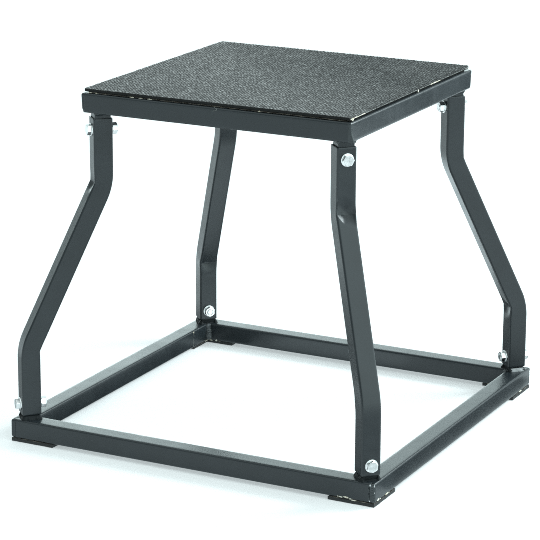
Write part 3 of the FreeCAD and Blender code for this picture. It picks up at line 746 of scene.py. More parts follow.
def leg(angle, seed, dents):
    """A length of tube bent twice on a press: the inside of each bend is kinked and crushed, its cheeks bulge."""
    outer = rounded_section(HALF_TUBE, EDGE, 22, 7)
    inner = rounded_section(HALF_TUBE - WALL, EDGE - WALL, 22, 7)
    bends = [(middle, sign, *dent) for middle, sign, dent in (((S1 + S2) / 2, -1.0, dents[0]), ((S3 + S4) / 2, 1.0, dents[1]))]
    near = [np.linspace(m - 34, m + 34, 91) for m, *_ in bends]
    s_all = np.concatenate(
        [
            [0.0, 0.25, 0.6],
            np.linspace(2, near[0][0] - 5, 9),
            near[0],
            np.linspace(near[0][-1] + 6, near[1][0] - 6, 24),
            near[1],
            np.linspace(near[1][-1] + 5, LEG_LENGTH - 2, 9),
            [LEG_LENGTH - 0.6, LEG_LENGTH - 0.25, LEG_LENGTH],
        ]
    )

    def skin(section, ends):
        rings = []
        for i, s in enumerate(s_all):
            r, z, a = leg_axis(s)
            u, v = section[:, 0].copy(), section[:, 1].copy()
            U, V = outer[:, 0], outer[:, 1]
            for middle, sign, deep, shift, curl, side in bends:
                x = s - middle
                if abs(x) > 40:
                    continue
                w = np.clip((sign * V + HALF_TUBE) / TUBE, 0, 1)
                phi = max(lean / 2 - abs(x) / BEND_RADIUS, 0.0)
                kink = (BEND_RADIUS - HALF_TUBE) * (1 / math.cos(phi) - 1)
                depth = pinch if curl < 1 else crush
                v = v - sign * (kink * w**1.5 + depth(U, x - shift, deep, curl, side) * w**6)
                u = u + np.sign(U) * 0.8 * math.exp(-((x / 10.0) ** 2)) * w**2 * np.clip(np.abs(U) / HALF_TUBE, 0, 1) ** 3
                v = v + sign * 0.35 * math.exp(-((x / 7.0) ** 2)) * w**4 * smooth(np.abs(U), HALF_TUBE - EDGE - 1.5, HALF_TUBE - EDGE)
            ease = max(0.0, 0.6 - s, 0.6 - (LEG_LENGTH - s)) * 0.45 if ends else 0.0
            u, v = u * (1 - ease / HALF_TUBE), v * (1 - ease / HALF_TUBE)
            t = s / 70.0
            v = v - 0.03 * (1 + wander(t, seed + 3)) * np.sign(V) * (np.abs(V) > HALF_TUBE - 0.1) * (1 - (U / HALF_TUBE) ** 2)
            u = u - 0.03 * (1 + wander(t, seed + 4)) * np.sign(U) * (np.abs(U) > HALF_TUBE - 0.1) * (1 - (V / HALF_TUBE) ** 2)
            rings.append(np.stack([r + v * math.cos(a), u, z + v * math.sin(a)], 1))
        return np.array(rings)

    out, ins = skin(outer, True), skin(inner, False)
    shape = Shape()
    # outside up, over the rim, inside down, over the other rim
    loop = np.concatenate([out, ins[::-1]])
    shape.loft(turned(loop, angle), looped=True)
    return shape


# depth, place along the bend, bow (or below 1 the slope of a pinch) and deeper side of the crush at the two bends of each leg
DENTS = {
    "near": ((2.6, 1.0, 3.0, 1), (7.2, 1.2, 0.38, 1)),
    "right": ((2.4, 0.0, 3.5, -1), (2.8, 1.5, 4.5, 1)),
    "rear": ((2.8, 3.0, 4.0, -1), (3.0, 2.0, 4.5, -1)),
    "left": ((2.3, -1.0, 3.0, 1), (2.6, 2.0, 5.0, -1)),
}
for k, (where, angle) in enumerate(CORNERS):
    make(f"leg_{where}_tube", leg(angle, 71 + 9 * k, DENTS[where]), powder, [f"leg_{where}"], 42)


# ---------------------------------------------------------------- bolts, washers and nuts
def hex_radius(a, flats, corner):
    """Distance to the edge of a hexagon with eased corners, in direction a, flats across the flats."""
    b = (a + math.pi / 6) % (math.pi / 3) - math.pi / 6
    return min(flats / 2 / math.cos(b), corner)


def around(profile, steps=48):
    """Profile (r, x) turned round the X axis, as rings."""
    a = np.arange(steps) * TAU / steps
    rings = []
    for r, x in profile:
        rings.append(np.stack([np.full(steps, x), r * np.cos(a), r * np.sin(a)], 1))
    return np.array(rings)


def hex_head(flats, height, turn, both=False, bore=0.0, steps=72):
    """A hexagon of that height along +X from 0, chamfered on its outer face (or both), solid or bored."""
    a = np.arange(steps) * TAU / steps
    rad = np.array([hex_radius(q, flats, flats / 2 / math.cos(math.pi / 6) - 0.12) for q in a])
    top = 0.955 * flats / 2
    drop = np.maximum(rad - top, 0) * math.tan(math.radians(28))
    c, s = np.cos(a + turn), np.sin(a + turn)

    def ring(r, x):
        r = np.broadcast_to(r, a.shape)
        return np.stack([np.broadcast_to(x, a.shape), r * c, r * s], 1)

    foot = drop if both else 0.12
    rings = []
    if bore:
        rings += [ring(bore, 0.7), ring(bore + 0.7, 0.0)]
    rings += [ring(top, 0.0), ring(rad if both else rad - 0.1, foot), ring(rad, foot + 0.05), ring(rad, height - drop - 0.05), ring(rad - 0.03, height - drop), ring(top, height)]
    if bore:
        rings += [ring(bore + 0.7, height), ring(bore, height - 0.7)]
    else:
        rings += [ring(top * 0.93, height + 0.02), ring(top * 0.6, height - 0.06), ring(top * 0.25, height - 0.09)]
    return np.array(rings)


def bolt(turn):
    """Head, shank and a rolled thread with a bevelled point. X runs outwards from the head washer's face."""
    shape = Shape()
    shape.loft(hex_head(13.0, 5.1, turn))
    plain, steps, pitch = 19.0, 36, 1.25
    a = np.arange(steps) * TAU / steps
    rows = [np.stack([np.full(steps, x), r * np.cos(a), r * np.sin(a)], 1) for x, r in ((0.15, 3.3), (0.12, 4.3), (-0.5, 3.98), (-plain, 3.98))]
    n = int((35.0 - plain) / (pitch / 6))
    for i in range(1, n + 1):
        x = plain + (35.0 - plain) * i / n
        wave = np.abs(((x / pitch - a / TAU) % 1.0) * 2 - 1)
        depth = 0.72 * np.clip(1.25 * wave - 0.12, 0, 1)
        r = 3.98 - depth * min(1.0, (x - plain) / 1.5)
        r = np.minimum(r, 3.2 + (35.0 - x) * 1.0)
        rows.append(np.stack([np.full(steps, -x), r * np.cos(a), r * np.sin(a)], 1))
    shape.loft(np.array(rows))
    return shape


def washer(outer, bore, thick, seed):
    """A pressed washer: rolled over on one edge, with a little burr on the other."""
    rng = np.random.default_rng(seed)
    p = [(bore, 0.15), (bore, thick - 0.1), (bore + 0.25, thick), (outer - 0.45, thick), (outer - 0.12, thick - 0.14), (outer, thick - 0.5), (outer, 0.08), (outer - 0.1, 0.0), (bore + 0.15, 0.0)]
    shape = Shape()
    rings = around(p, 60)
    rings[:, :, 1] += rng.uniform(-0.12, 0.12)
    rings[:, :, 2] += rng.uniform(-0.15, 0.05)
    shape.loft(rings, looped=True)
    return shape


def placed(shape, angle, r, z, flip=False):
    """Puts a shape whose X axis runs outwards at radius r and height z on the diagonal at that angle."""
    p = shape.all().copy()
    if flip:
        p[:, 0] *= -1
        p[:, 1] *= -1
    p[:, 0] += r
    p[:, 2] += z
    return turned(p, angle), shape.faces


HEX_TURN = {"lower": (0.42, 0.12, -0.25, 0.3), "upper": (0.05, 0.4, 0.2, -0.2)}
NUT_TURN = {"lower": (0.3, 0.0, 0.5, 0.15), "upper": (0.1, 0.45, -0.1, 0.25)}
for level, r, z in (("lower", R_LOW, BOLT_LOW), ("upper", R_HIGH, BOLT_HIGH)):
    bolts, heads, backs, nuts = Shape(), Shape(), Shape(), Shape()
    for k, (where, angle) in enumerate(CORNERS):
        bolts.add(*placed(bolt(math.pi / 2 + HEX_TURN[level][k]), angle, r + HALF_TUBE + 1.5, z))
        heads.add(*placed(washer(8.25, 4.2, 1.5, 200 + k + len(level)), angle, r + HALF_TUBE, z))
        backs.add(*placed(washer(8.25, 4.2, 1.5, 300 + k + len(level)), angle, r - HALF_TUBE, z, True))
        s = Shape()
        s.loft(hex_head(13.0, 6.5, math.pi / 2 + NUT_TURN[level][k], True, 4.05), looped=True)
        nuts.add(*placed(s, angle, r - HALF_TUBE - 1.5, z, True))
    for shape, what, node in ((bolts, "bolts", "hex_bolts"), (heads, "outer_washers", "head_washers"), (backs, "inner_washers", "nut_washers"), (nuts, "hex_nuts", "nuts")):
        make(f"{level}_{what}_detailed", shape, zinc, [f"{level}_{node}"], 24)


# ---------------------------------------------------------------- tread mat
GRAIN_A = np.array([3.39, 1.71])
GRAIN_B = np.array([3.23, -3.59])


def grain(x, y):
    """Height of the moulded grain, 0 to 1: small oval pebbles in slanting rows, uneven in place and size."""
    basis = np.linalg.inv(np.stack([GRAIN_A, GRAIN_B], 1))
    jx = 0.55 * wander(x / 31.0 + 0.35 * np.sin(y / 23.0), 7) + 0.35 * wander(y / 17.0 + 0.2 * np.sin(x / 11.0), 8)
    jy = 0.55 * wander(y / 29.0 + 0.35 * np.sin(x / 19.0), 9) + 0.35 * wander(x / 15.0 + 0.2 * np.sin(y / 13.0), 10)
    X, Y = x + jx, y + jy
    m = basis[0, 0] * X + basis[0, 1] * Y
    n = basis[1, 0] * X + basis[1, 1] * Y
    im, jn = np.floor(m).astype(int), np.floor(n).astype(int)
    best = np.full(x.shape, 9e9)
    second = np.full(x.shape, 9e9)
    size = np.ones(x.shape)

    def scatter(i, j, k):
        h = (i * 73856093) ^ (j * 19349663) ^ (k * 83492791)
        h = (h ^ (h >> 13)) * 1274126177
        return ((h ^ (h >> 16)) & 0xFFFF) / 65535.0

    for di in (-1, 0, 1, 2):
        for dj in (-1, 0, 1, 2):
            i, j = im + di, jn + dj
            ci = i + 0.36 * (scatter(i, j, 1) - 0.5)
            cj = j + 0.30 * (scatter(i, j, 2) - 0.5)
            dx = X - (ci * GRAIN_A[0] + cj * GRAIN_B[0])
            dy = Y - (ci * GRAIN_A[1] + cj * GRAIN_B[1])
            d = dx * dx + dy * dy
            closer = d < best
            second = np.where(closer, best, np.minimum(second, d))
            size = np.where(closer, 0.55 + 0.45 * scatter(i, j, 3), size)
            best = np.where(closer, d, best)
    edge = np.sqrt(second) - np.sqrt(best)
    return size * smooth(edge, 0.15, 2.1) * (1 - 0.05 * best)


def tread_shape():
    n = 288
    half = MAT / 2
    e = np.linspace(-half, half, n + 1)
    x, y = np.meshgrid(e, e, indexing="ij")
    radius = 2.2
    ax, ay = np.abs(x) - (half - radius), np.abs(y) - (half - radius)
    corner = (ax > 0) & (ay > 0)
    big, length = np.maximum(ax, ay), np.hypot(ax, ay)
    f = np.where(corner, big / np.maximum(length, 1e-9), 1.0)
    x = np.where(corner, np.sign(x) * (half - radius + ax * f), x)
    y = np.where(corner, np.sign(y) * (half - radius + ay * f), y)
    h = np.clip(grain(x, y), 0, 1)
    # the sheet's moulded edge, on the +X side, is rolled over and smooth; the others are cut
    roll = np.clip((x - (half - 2.6)) / 2.6, 0, 1)
    z = MAT_HIGH - 0.78 + 0.76 * h * (1 - 0.8 * roll) - 1.4 * roll**2
    # the tone the material reads: pale pebble tops as painted sheen, dark gaps as painted shade, flat on the rolled
    # edge
    pebble_sheen_and_shade = h * (1 - roll) + 0.3 * roll
    top = np.stack([x, y, z], -1)
    # border walk, counter-clockwise
    walk = [(i, 0) for i in range(n)] + [(n, j) for j in range(n)] + [(i, n) for i in range(n, 0, -1)] + [(0, j) for j in range(n, 0, -1)]
    rim = np.array([top[i, j] for i, j in walk])
    t = np.arange(len(walk)) / len(walk)
    outward = rim[:, :2] / np.maximum(np.abs(rim[:, :2]).max(1, keepdims=True), 1e-9)
    outward = np.where(np.abs(outward) > 0.999, np.sign(outward), 0.0)
    levels = []
    for k, f in enumerate((0.12, 0.4, 0.7, 0.93, 1.0)):
        ring = rim.copy()
        cut = 0.10 + 0.10 * ring_wander(t, 400 + k, (3, 7, 19, 43, 88))
        cut = np.clip(cut, 0.0, 0.3) + (0.25 if f == 1.0 else 0.0)
        ring[:, :2] -= outward * cut[:, None]
        ring[:, 2] = rim[:, 2] + (MAT_LOW - rim[:, 2]) * f
        levels.append(ring)
    return n, top, walk, levels, pebble_sheen_and_shade


def tread_mesh():
    n, top, walk, levels, pebble_sheen_and_shade = tread_shape()
    s = Shape()
    idx = lambda i, j: i * (n + 1) + j
    faces = [(idx(i, j), idx(i + 1, j), idx(i + 1, j + 1), idx(i, j + 1)) for i in range(n) for j in range(n)]
    tops = len(faces)
    s.add(top.reshape(-1, 3), faces)
    base = s.count
    m = len(walk)
    s.blocks.append(np.concatenate(levels))
    s.count += m * len(levels)
    before = [idx(i, j) for i, j in walk]
    for k in range(len(levels)):
        after = [base + k * m + i for i in range(m)]
        for i in range(m):
            j = (i + 1) % m
            s.faces.append((before[j], before[i], after[i], after[j]))
        before = after
    s.faces.append(tuple(reversed(before)))
    return s, tops, np.concatenate([pebble_sheen_and_shade.ravel(), np.zeros(m * len(levels))])


shape, tops, pebble_sheen_and_shade = tread_mesh()
obj = make("tread_mat_grained", shape, tread, ["tread_mat"], 62)
obj.data.materials.append(mat_side)
index = np.ones(len(obj.data.polygons), np.int32)
index[:tops] = 0
obj.data.polygons.foreach_set("material_index", index)
obj.data.attributes.new("grain", "FLOAT", "POINT").data.foreach_set("value", pebble_sheen_and_shade.astype(np.float32))


# ---------------------------------------------------------------- adhesive squeezed out round the mat
def square_walk(half, radius, step):
    """Points and outward normals along a square with rounded corners, from the middle of the -Y side towards +X."""
    flat = half - radius
    points, normals = [], []
    corner = max(3, int(math.pi / 2 * radius / step))
    for k, start in enumerate((-90, 0, 90, 180)):
        a = math.radians(start)
        c, s = math.cos(a), math.sin(a)
        count = int(2 * flat / step)
        for i in range(count):
            e = -flat + 2 * flat * i / count
            points.append((c * half - s * e, s * half + c * e))
            normals.append((c, s))
        for i in range(corner):
            b = math.pi / 2 * i / corner
            points.append((c * (flat + radius * math.cos(b)) - s * (flat + radius * math.sin(b)), s * (flat + radius * math.cos(b)) + c * (flat + radius * math.sin(b))))
            normals.append((math.cos(a + b), math.sin(a + b)))
    return np.array(points), np.array(normals)


def glue_rope():
    points, normals = square_walk(DECK / 2, 6.0, 1.0)
    m = len(points)
    t = np.arange(m) / m
    rough = ring_wander(t, 21, (3, 8, 13, 29, 47, 83, 131))
    fine = ring_wander(t, 22, (151, 211, 277, 331))
    front = smooth(-points[:, 1], 175, 180)
    right = smooth(points[:, 0], 175, 180)
    out = 1.9 + 0.9 * rough + 0.3 * fine + 1.3 * front - 1.3 * right
    out = np.clip(out, 0.2, 4.3)
    low = TOP_HIGH + 0.02
    high = MAT_LOW - 0.05
    rings = []
    for i in range(m):
        ring = [(-0.4, low), (-0.4, high)]
        lift = 0.55 + 0.35 * math.sin(0.21 * i) * math.sin(0.043 * i + 1)
        for a in np.linspace(math.pi / 2, -math.pi / 2, 8):
            f = math.cos(a) ** 0.7 if math.cos(a) > 1e-6 else 0.0
            top = high if out[i] < 3.6 else high - (1 - lift) * 0.9 * smooth(out[i], 3.4, 4.2)
            ring.append((out[i] * f, (low + top) / 2 + (top - low) / 2 * math.sin(a)))
        rings.append([(*(points[i] + normals[i] * o), h) for o, h in ring])
    return np.array(rings)


s = Shape()
s.loft(glue_rope(), looped=True)
rng = np.random.default_rng(77)
EDGE_X = MAT / 2 - 0.05
UP = (0, 0, 1)


def front_drip(x, length, tall, seed, turn=0, thick=0.45):
    """A dab over the edge of the rail under the mat's -Y side, turned to one of the four sides."""
    return turned(splat((x, -MAT / 2 + 0.3, TOP_HIGH + 0.9), (1, 0, 0), UP, (0, -1, 0), length, tall, thick, seed), turn)


# brown dabs in front, and round the sides, their brown painted shade
for x, length, tall, seed in ((-158.0, 13, 1.2, 912), (-140.0, 9, 0.9, 921), (-70.0, 12, 1.2, 916), (-52.0, 7, 0.9, 922), (-28.0, 14, 1.0, 917), (12.0, 9, 0.8, 923), (40.0, 12, 1.0, 924), (88.0, 8, 0.9, 925), (121.0, 14, 1.1, 919), (143.0, 7, 0.8, 926), (160.0, 10, 1.1, 920)):
    s.loft(front_drip(x, length, tall, seed))
for turn, x, length, tall, seed in ((180, -60.0, 22, 1.3, 931), (180, 40.0, 16, 1.1, 932), (270, -130.0, 20, 1.2, 934), (270, 15.0, 12, 1.5, 935)):
    s.loft(front_drip(x, length, tall, seed, turn))
brown = len(s.faces)
# a thin grey film along the lower edge of the mat's right side, broken: wiped glue, and a painted highlight along that
# edge
y = -142.0
while y < 178:
    length = rng.uniform(7, 22)
    tall = rng.uniform(0.25, 0.6)
    if not 52 < y < 84:
        s.loft(splat((EDGE_X, y + length / 2, MAT_LOW + 1.2 + tall * 0.3), (0, 1, 0), UP, (1, 0, 0), length * 1.1, tall, 0.12, int(rng.integers(1, 9999))))
    y += length + rng.uniform(-1, 5)
# a hair of it over the edge of the front rail
q = np.linspace(0, 1, 14)
s.loft(strand(np.stack([2.2 + 17.0 * q - 18.8 * q**2, -187.12 + 0 * q, 451.4 - 4.6 * q], 1), np.full(14, 0.14)))
grey = len(s.faces)
# thick and cream: by the near corner, in a few dabs in front, and in blobs that bridge the gap
y = -182.0
while y < -146:
    length, tall = rng.uniform(5, 12), rng.uniform(0.8, 1.5)
    s.loft(splat((EDGE_X, y + length / 2, MAT_LOW + 0.75 + tall * 0.3), (0, 1, 0), UP, (1, 0, 0), length * 1.2, tall, 0.16, int(rng.integers(1, 9999))))
    y += length + rng.uniform(-1, 1.5)
for y, length, tall, seed in ((62.0, 9, 1.2, 941), (71.5, 11, 1.5, 942), (82.0, 12, 1.1, 943)):
    s.loft(splat((EDGE_X, y, MAT_LOW + 0.65 + tall * 0.3), (0, 1, 0), UP, (1, 0, 0), length * 1.2, tall, 0.16, seed))
s.loft(splat((EDGE_X - 0.3, 18.4, MAT_LOW - 0.5), (0, 1, 0), UP, (1, 0, 0), 3.4, 3.6, 0.5, 905))
s.loft(splat((EDGE_X - 0.2, -176.0, MAT_LOW - 0.2), (0, 1, 0), UP, (1, 0, 0), 5.0, 3.0, 0.4, 906))
for x, length, tall, seed in ((-176.0, 6, 0.9, 911), (-166.5, 4, 0.7, 927), (-115.0, 6, 1.1, 913), (-103.0, 5, 0.8, 914), (-90.0, 6, 1.0, 915), (62.5, 2.6, 1.6, 918)):
    s.loft(front_drip(x, length, tall, seed))
for turn, x, length, tall, seed in ((180, 120.0, 16, 1.4, 933), (270, 95.0, 14, 1.2, 936)):
    s.loft(front_drip(x, length, tall, seed, turn))
finishes(make("adhesive_squeeze_out", s, glue_painted_shade, ["adhesive_bead"], 60), (brown, grey), glue_film_and_sheen, cream)


# ---------------------------------------------------------------- foot pads
def pad_outline(seed, front_arm, side_arm):
    """L-shaped pad at the +X -Y corner, cut by hand: wavering edges and ends a little off square."""
    rng = np.random.default_rng(seed)
    o = BASE / 2 - 0.15
    i = BASE / 2 - TUBE + 3.0
    corners = [(o, -o), (o, -o + side_arm + rng.uniform(-1.5, 1.5)), (i, -o + side_arm + rng.uniform(-1.5, 1.5)), (i, -i), (o - front_arm + rng.uniform(-1.5, 1.5), -i), (o - front_arm + rng.uniform(-1.5, 1.5), -o)]
    points, normals = [], []
    for a, b in zip(corners, corners[1:] + corners[:1]):
        a, b = np.array(a), np.array(b)
        d = b - a
        length = np.linalg.norm(d)
        n = np.array([d[1], -d[0]]) / length
        count = max(3, int(length / 2.0))
        for k in range(count):
            points.append(a + d * k / count)
            normals.append(n)
    points, normals = np.array(points), np.array(normals)
    normals = (normals + np.roll(normals, 1, 0)) / 2
    t = np.arange(len(points)) / len(points)
    points = points - normals * np.clip(0.25 + 0.25 * ring_wander(t, seed + 3, (3, 5, 11, 23)), 0.0, 0.6)[:, None]
    return points, normals


for k, (where, angle) in enumerate(CORNERS):
    points, normals = pad_outline(500 + 3 * k, 62.0, 62.0)
    rings = [np.column_stack([points - normals * cut, np.full(len(points), z)]) for cut, z in ((0.55, 0.0), (0.1, 0.25), (0.0, 0.7), (0.05, 2.2), (0.0, 3.9), (0.12, 4.3), (0.5, 4.5))]
    s = Shape()
    s.loft(turned(np.array(rings), 90 * k))
    make(f"foot_pad_{where}_cut", s, foot_rubber, [f"foot_pad_{where}"], 40)


def foot_glue(seed):
    """The layer over one pad, just short of its edges."""
    points, normals = pad_outline(seed - 40, 61.6, 61.6)
    m = len(points)
    t = np.arange(m) / m
    n = normals / np.maximum(np.linalg.norm(normals, axis=1, keepdims=True), 1e-9)
    out = np.clip(-0.7 + 0.6 * ring_wander(t, seed, (4, 7, 13, 21, 34)), -1.3, -0.05)
    rows = []
    for f, z in ((-0.9, 4.42), (0.0, 4.46), (0.0, 5.0), (-0.9, 5.05)):
        rows.append(np.column_stack([points + n * (out + f)[:, None], np.full(m, z)]))
    return np.array(rows)


FRONT = ((1, 0, 0), (0, 0, 1), (0, -1, 0))
SIDE = ((0, 1, 0), (0, 0, 1), (1, 0, 0))
INNER_FRONT = ((1, 0, 0), (0, 0, 1), (0, 1, 0))
INNER_SIDE = ((0, 1, 0), (0, 0, 1), (-1, 0, 0))
OUT = BASE / 2
IN = BASE / 2 - TUBE
s = Shape()
for k in range(4):
    s.loft(turned(foot_glue(540 + 3 * k), 90 * k))
# what was squeezed out, corner by corner: face, place along it, height, length, tallness; first the thin brown bits
THIN = (
    (0, "F", 242.0, 4.75, 15.0, 0.7), (0, "F", 234.0, 4.9, 4.0, 0.8), (0, "F", 202.0, 4.8, 8.0, 0.6), (0, "S", -233.0, 4.8, 8.0, 0.7), (0, "S", -205.0, 4.8, 8.0, 0.7),
    (1, "F", 240.0, 4.9, 14.0, 0.9), (1, "S", -214.0, 4.9, 12.0, 0.9), (2, "S", -207.0, 5.0, 8.0, 1.2), (3, "F", 205.0, 4.9, 12.0, 0.8), (3, "F", 228.0, 4.9, 18.0, 0.8), (3, "S", -240.0, 4.8, 14.0, 0.6), (3, "S", -216.0, 4.8, 22.0, 0.6),
    (2, "IF", 213.5, 5.2, 4.5, 1.3), (2, "IS", -211.0, 5.0, 12.0, 0.8), (0, "IS", -220.0, 5.2, 8.0, 1.2), (1, "IF", 218.0, 5.2, 9.0, 1.2), (3, "IS", -213.0, 5.1, 10.0, 1.1),
)
SQUEEZED = (
    (0, "F", 219.5, 7.2, 7.0, 2.2), (0, "F", 212.5, 6.6, 5.0, 1.5), (0, "F", 208.3, 6.9, 2.2, 1.1), (0, "F", 225.0, 6.1, 3.0, 1.3), (0, "F", 229.5, 4.95, 7.0, 1.3),
    (0, "S", -245.5, 6.9, 7.0, 2.4), (0, "S", -239.5, 6.3, 3.0, 1.3), (0, "S", -220.5, 6.2, 8.0, 1.9), (0, "S", -214.0, 5.6, 3.0, 1.0),
    (1, "F", 222.0, 5.6, 9.0, 1.9), (1, "S", -238.0, 6.0, 8.0, 2.2),
    (2, "F", 215.0, 5.8, 10.0, 2.0), (2, "S", -231.0, 5.6, 11.0, 1.7),
    (2, "IF", 219.0, 5.7, 3.4, 2.4), (2, "IF", 228.0, 5.0, 5.0, 1.3), (2, "IS", -226.0, 5.2, 9.0, 1.2),
    (0, "IF", 214.0, 5.4, 8.0, 1.7), (1, "IS", -208.0, 5.2, 7.0, 1.3), (3, "IF", 221.0, 5.3, 7.0, 1.5),
)
thin = 0
for n, (k, face, at, z, length, tall) in enumerate(THIN + SQUEEZED):
    if n == len(THIN):
        thin = len(s.faces)
    if face == "F":
        blob = splat((at, -OUT, z), *FRONT, length, tall, 0.2, 700 + n)
    elif face == "S":
        blob = splat((OUT, at, z), *SIDE, length, tall, 0.2, 700 + n)
    elif face == "IF":
        blob = splat((at, -IN, z), *INNER_FRONT, length, tall, 0.5, 700 + n)
    else:
        blob = splat((IN, at, z), *INNER_SIDE, length, tall, 0.5, 700 + n)
    s.loft(turned(blob, 90 * k))
# a thread of it hanging down the inner face of the left rail, from a bead on the rail's edge
s.loft(splat((-IN - 0.1, 187.7, 27.7), (0, 1, 0), (0, 0, 1), (1, 0, 0), 2.2, 2.4, 0.8, 961))
thick = len(s.faces)
q = np.linspace(0, 1, 20)
s.loft(strand(np.stack([-IN + 0.05 + 0 * q, 187.6 + 0.5 * np.sin(5 * q), 27.6 - 21.0 * q], 1), 0.15 + 0.03 * np.sin(9 * q)))
finishes(make("foot_adhesive_squeeze_out", s, glue_painted_shade, ["foot_adhesive"], 60), (thin, thick), cream, glue_film_and_sheen)


# ---------------------------------------------------------------- floor, light and camera
scene = bpy.context.scene
scene.view_settings.view_transform = "Standard"
scene.cycles.filter_width = 1.0
scene.cycles.use_denoising = False


def floor(name, z, colour, glow, tint=(1.0, 1.0, 1.0), extent=((-20, 20), (-20, 20))):
    """A wide plain floor, or a card lying on it."""
    (x0, x1), (y0, y1) = extent
    mesh = bpy.data.meshes.new(name)
    mesh.from_pydata([(x0, y0, z), (x1, y0, z), (x1, y1, z), (x0, y1, z)], [], [(0, 1, 2, 3)])
    m, nodes, links, bsdf = new_material(name)
    bsdf.inputs["Base Color"].default_value = (*colour, 1)
    bsdf.inputs["Roughness"].default_value = 0.9
    bsdf.inputs["Specular IOR Level"].default_value = 0.0
    bsdf.inputs["Emission Color"].default_value = (*tint, 1)
    bsdf.inputs["Emission Strength"].default_value = glow
    mesh.materials.append(m)
    obj = bpy.data.objects.new(name, mesh)
    scene.collection.objects.link(obj)
    obj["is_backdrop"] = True
    return obj


# the floor as it is seen is a clean white sweep; another, unseen, throws light back at the box
seen = floor("studio_floor", -0.0002, (0.66, 0.66, 0.66), 0.42, (0.91, 1.0, 1.015))
seen.visible_diffuse = seen.visible_glossy = seen.visible_transmission = seen.visible_shadow = False
thrown = floor("studio_floor_bounce", -0.0008, (0.5, 0.5, 0.5), 0.475, (0.83, 1.0, 1.05))
# dull cards on it, painted shadow on the floor that the box's faces reflect: to the right of the side rails, so that
# their faces are not washed out, and at a few more spots in and round the ring
cards = [floor("studio_card_right", -0.0006, (0.05, 0.05, 0.05), 0.06, (0.83, 1.0, 1.05), ((0.268, 0.40), (-0.19, 0.30)))]
cards.append(floor("studio_card_far", -0.0006, (0.05, 0.05, 0.05), 0.02, (0.83, 1.0, 1.05), ((0.3, 1.8), (1.38, 3.6))))
cards.append(floor("studio_card_inside", -0.0006, (0.1, 0.1, 0.1), 0.2, (0.83, 1.0, 1.05), ((-0.10, 0.20), (-0.225, -0.02))))
cards.append(floor("studio_card_outside", -0.0006, (0.2, 0.2, 0.2), 0.22, (0.83, 1.0, 1.05), ((-0.62, -0.28), (-0.22, 0.32))))
cards.append(floor("studio_card_left", -0.0006, (0.05, 0.05, 0.05), 0.02, (0.83, 1.0, 1.05), ((-0.230, -0.178), (-0.22, 0.215))))
cards.append(floor("studio_card_behind", -0.0006, (0.1, 0.1, 0.1), 0.1, (0.83, 1.0, 1.05), ((-0.25, 0.12), (0.27, 0.41))))
cards.append(floor("studio_card_front", -0.0006, (0.2, 0.2, 0.2), 0.26, (0.83, 1.0, 1.05), ((0.30, 0.75), (-0.50, -0.30))))
cards.append(floor("studio_card_front_far", -0.0006, (0.1, 0.1, 0.1), 0.14, (0.83, 1.0, 1.05), ((1.22, 1.9), (-1.15, -0.62))))
# and pale glowing ones, painted light that the box reflects and is lit by: under the middle, for the inside of the rear
# leg, far to the right and behind
cards.append(floor("studio_card_middle", -0.0006, (0.5, 0.5, 0.5), 1.3, (0.83, 1.0, 1.05), ((-0.15, 0.06), (0.11, 0.195))))
cards.append(floor("studio_card_right_far", -0.0006, (0.5, 0.5, 0.5), 1.1, (0.83, 1.0, 1.05), ((0.55, 1.3), (0.80, 1.22))))
cards.append(floor("studio_card_back", -0.0006, (0.5, 0.5, 0.5), 1.5, (0.83, 1.0, 1.05), ((-0.62, 0.02), (0.44, 1.0))))
for unseen in [thrown] + cards:
    unseen.visible_camera = False

world = bpy.data.worlds.new("studio")
scene.world = world
world.use_nodes = True
nodes, links = world.node_tree.nodes, world.node_tree.links
sight = nodes.new("ShaderNodeTexCoord").outputs["Generated"]


def facing(azimuth, low, high, gain):
    """Rises from 0 to gain as a direction turns towards that azimuth."""
    dot = nodes.new("ShaderNodeVectorMath")
    dot.operation = "DOT_PRODUCT"
    dot.inputs[1].default_value = (math.sin(math.radians(azimuth)), -math.cos(math.radians(azimuth)), 0)
    links.new(sight, dot.inputs[0])
    return spread(nodes, links, dot.outputs["Value"], 0.0, gain, low, high)


def plus(a, b):
    add = nodes.new("ShaderNodeMath")
    add.operation = "ADD"
    for k, v in enumerate((a, b)):
        if isinstance(v, float):
            add.inputs[k].default_value = v
        else:
            links.new(v, add.inputs[k])
    return add.outputs[0]


split = nodes.new("ShaderNodeSeparateXYZ")
links.new(sight, split.inputs[0])
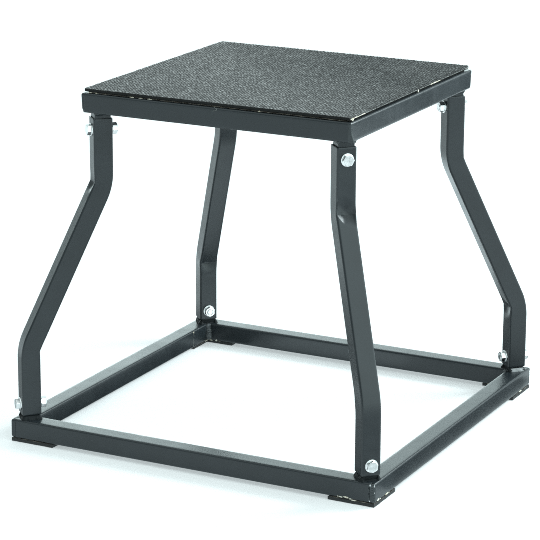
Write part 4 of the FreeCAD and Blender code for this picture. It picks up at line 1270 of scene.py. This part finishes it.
# pale walls behind on the left and to the right, a paler ceiling and a dim room in front
wall = ramp(nodes, links, split.outputs["Z"], [(0.0, (0.83, 1.0, 1.0)), (0.5, (0.83, 1.0, 1.0)), (0.78, (0.52, 0.60, 0.60)), (1.0, (0.52, 0.60, 0.60))])
glow = plus(plus(facing(-152, 0.72, 0.96, 1.22), facing(-141, 0.915, 0.955, 2.2)), plus(facing(92, 0.3, 0.95, 1.8), 0.36))
glow = plus(glow, spread(nodes, links, split.outputs["Z"], 0.0, 1.6, 0.5, 0.9))
scaled = nodes.new("ShaderNodeVectorMath")
scaled.operation = "SCALE"
links.new(wall, scaled.inputs[0])
links.new(glow, scaled.inputs["Scale"])
links.new(scaled.outputs["Vector"], nodes["Background"].inputs["Color"])
nodes["Background"].inputs["Strength"].default_value = 1.0


def softbox(name, azimuth, elevation, distance, size, radiance, target=(0, 0, 0.22)):
    """A soft box seen from the box's middle in that direction, of that even brightness."""
    a, e = math.radians(azimuth), math.radians(elevation)
    where = Vector(target) + distance * Vector((math.sin(a) * math.cos(e), -math.cos(a) * math.cos(e), math.sin(e)))
    light = bpy.data.lights.new(name, "AREA")
    light.shape = "RECTANGLE"
    light.size, light.size_y = size
    light.energy = radiance * math.pi * size[0] * size[1]
    light.color = (0.88, 1.0, 1.03)
    obj = bpy.data.objects.new(name, light)
    obj.location = where
    obj.rotation_euler = (Vector(target) - where).to_track_quat("-Z", "Y").to_euler()
    scene.collection.objects.link(obj)
    return obj


softbox("key_softbox", 150, 22, 2.6, (0.6, 0.5), 3.0)
softbox("high_softbox", 138.5, 30.0, 2.6, (0.86, 0.78), 28.0, (0.178, -0.178, 0.335))
softbox("side_softbox", 68, 36, 2.6, (1.2, 1.0), 0.5)

AZIMUTH, ELEVATION, ROLL = math.radians(26.8213), math.radians(15.7633), math.radians(0.3091)
DISTANCE = 3.24848
target = Vector((-0.013675, -0.002, 0.197346))
backward = Vector((math.sin(AZIMUTH) * math.cos(ELEVATION), -math.cos(AZIMUTH) * math.cos(ELEVATION), math.sin(ELEVATION)))
right = Vector((math.cos(AZIMUTH), math.sin(AZIMUTH), 0))
up = backward.cross(right)
right, up = math.cos(ROLL) * right + math.sin(ROLL) * up, math.cos(ROLL) * up - math.sin(ROLL) * right
data = bpy.data.cameras.new("camera")
data.sensor_fit = "HORIZONTAL"
data.sensor_width = 36.0
data.lens = 36.0 * 2472.76 / 540.0
data.clip_end = 100.0
camera = bpy.data.objects.new("camera", data)
spot = target + DISTANCE * backward
camera.matrix_world = Matrix(((right.x, up.x, backward.x, spot.x), (right.y, up.y, backward.y, spot.y), (right.z, up.z, backward.z, spot.z), (0, 0, 0, 1)))
scene.collection.objects.link(camera)
scene.camera = camera

low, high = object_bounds()
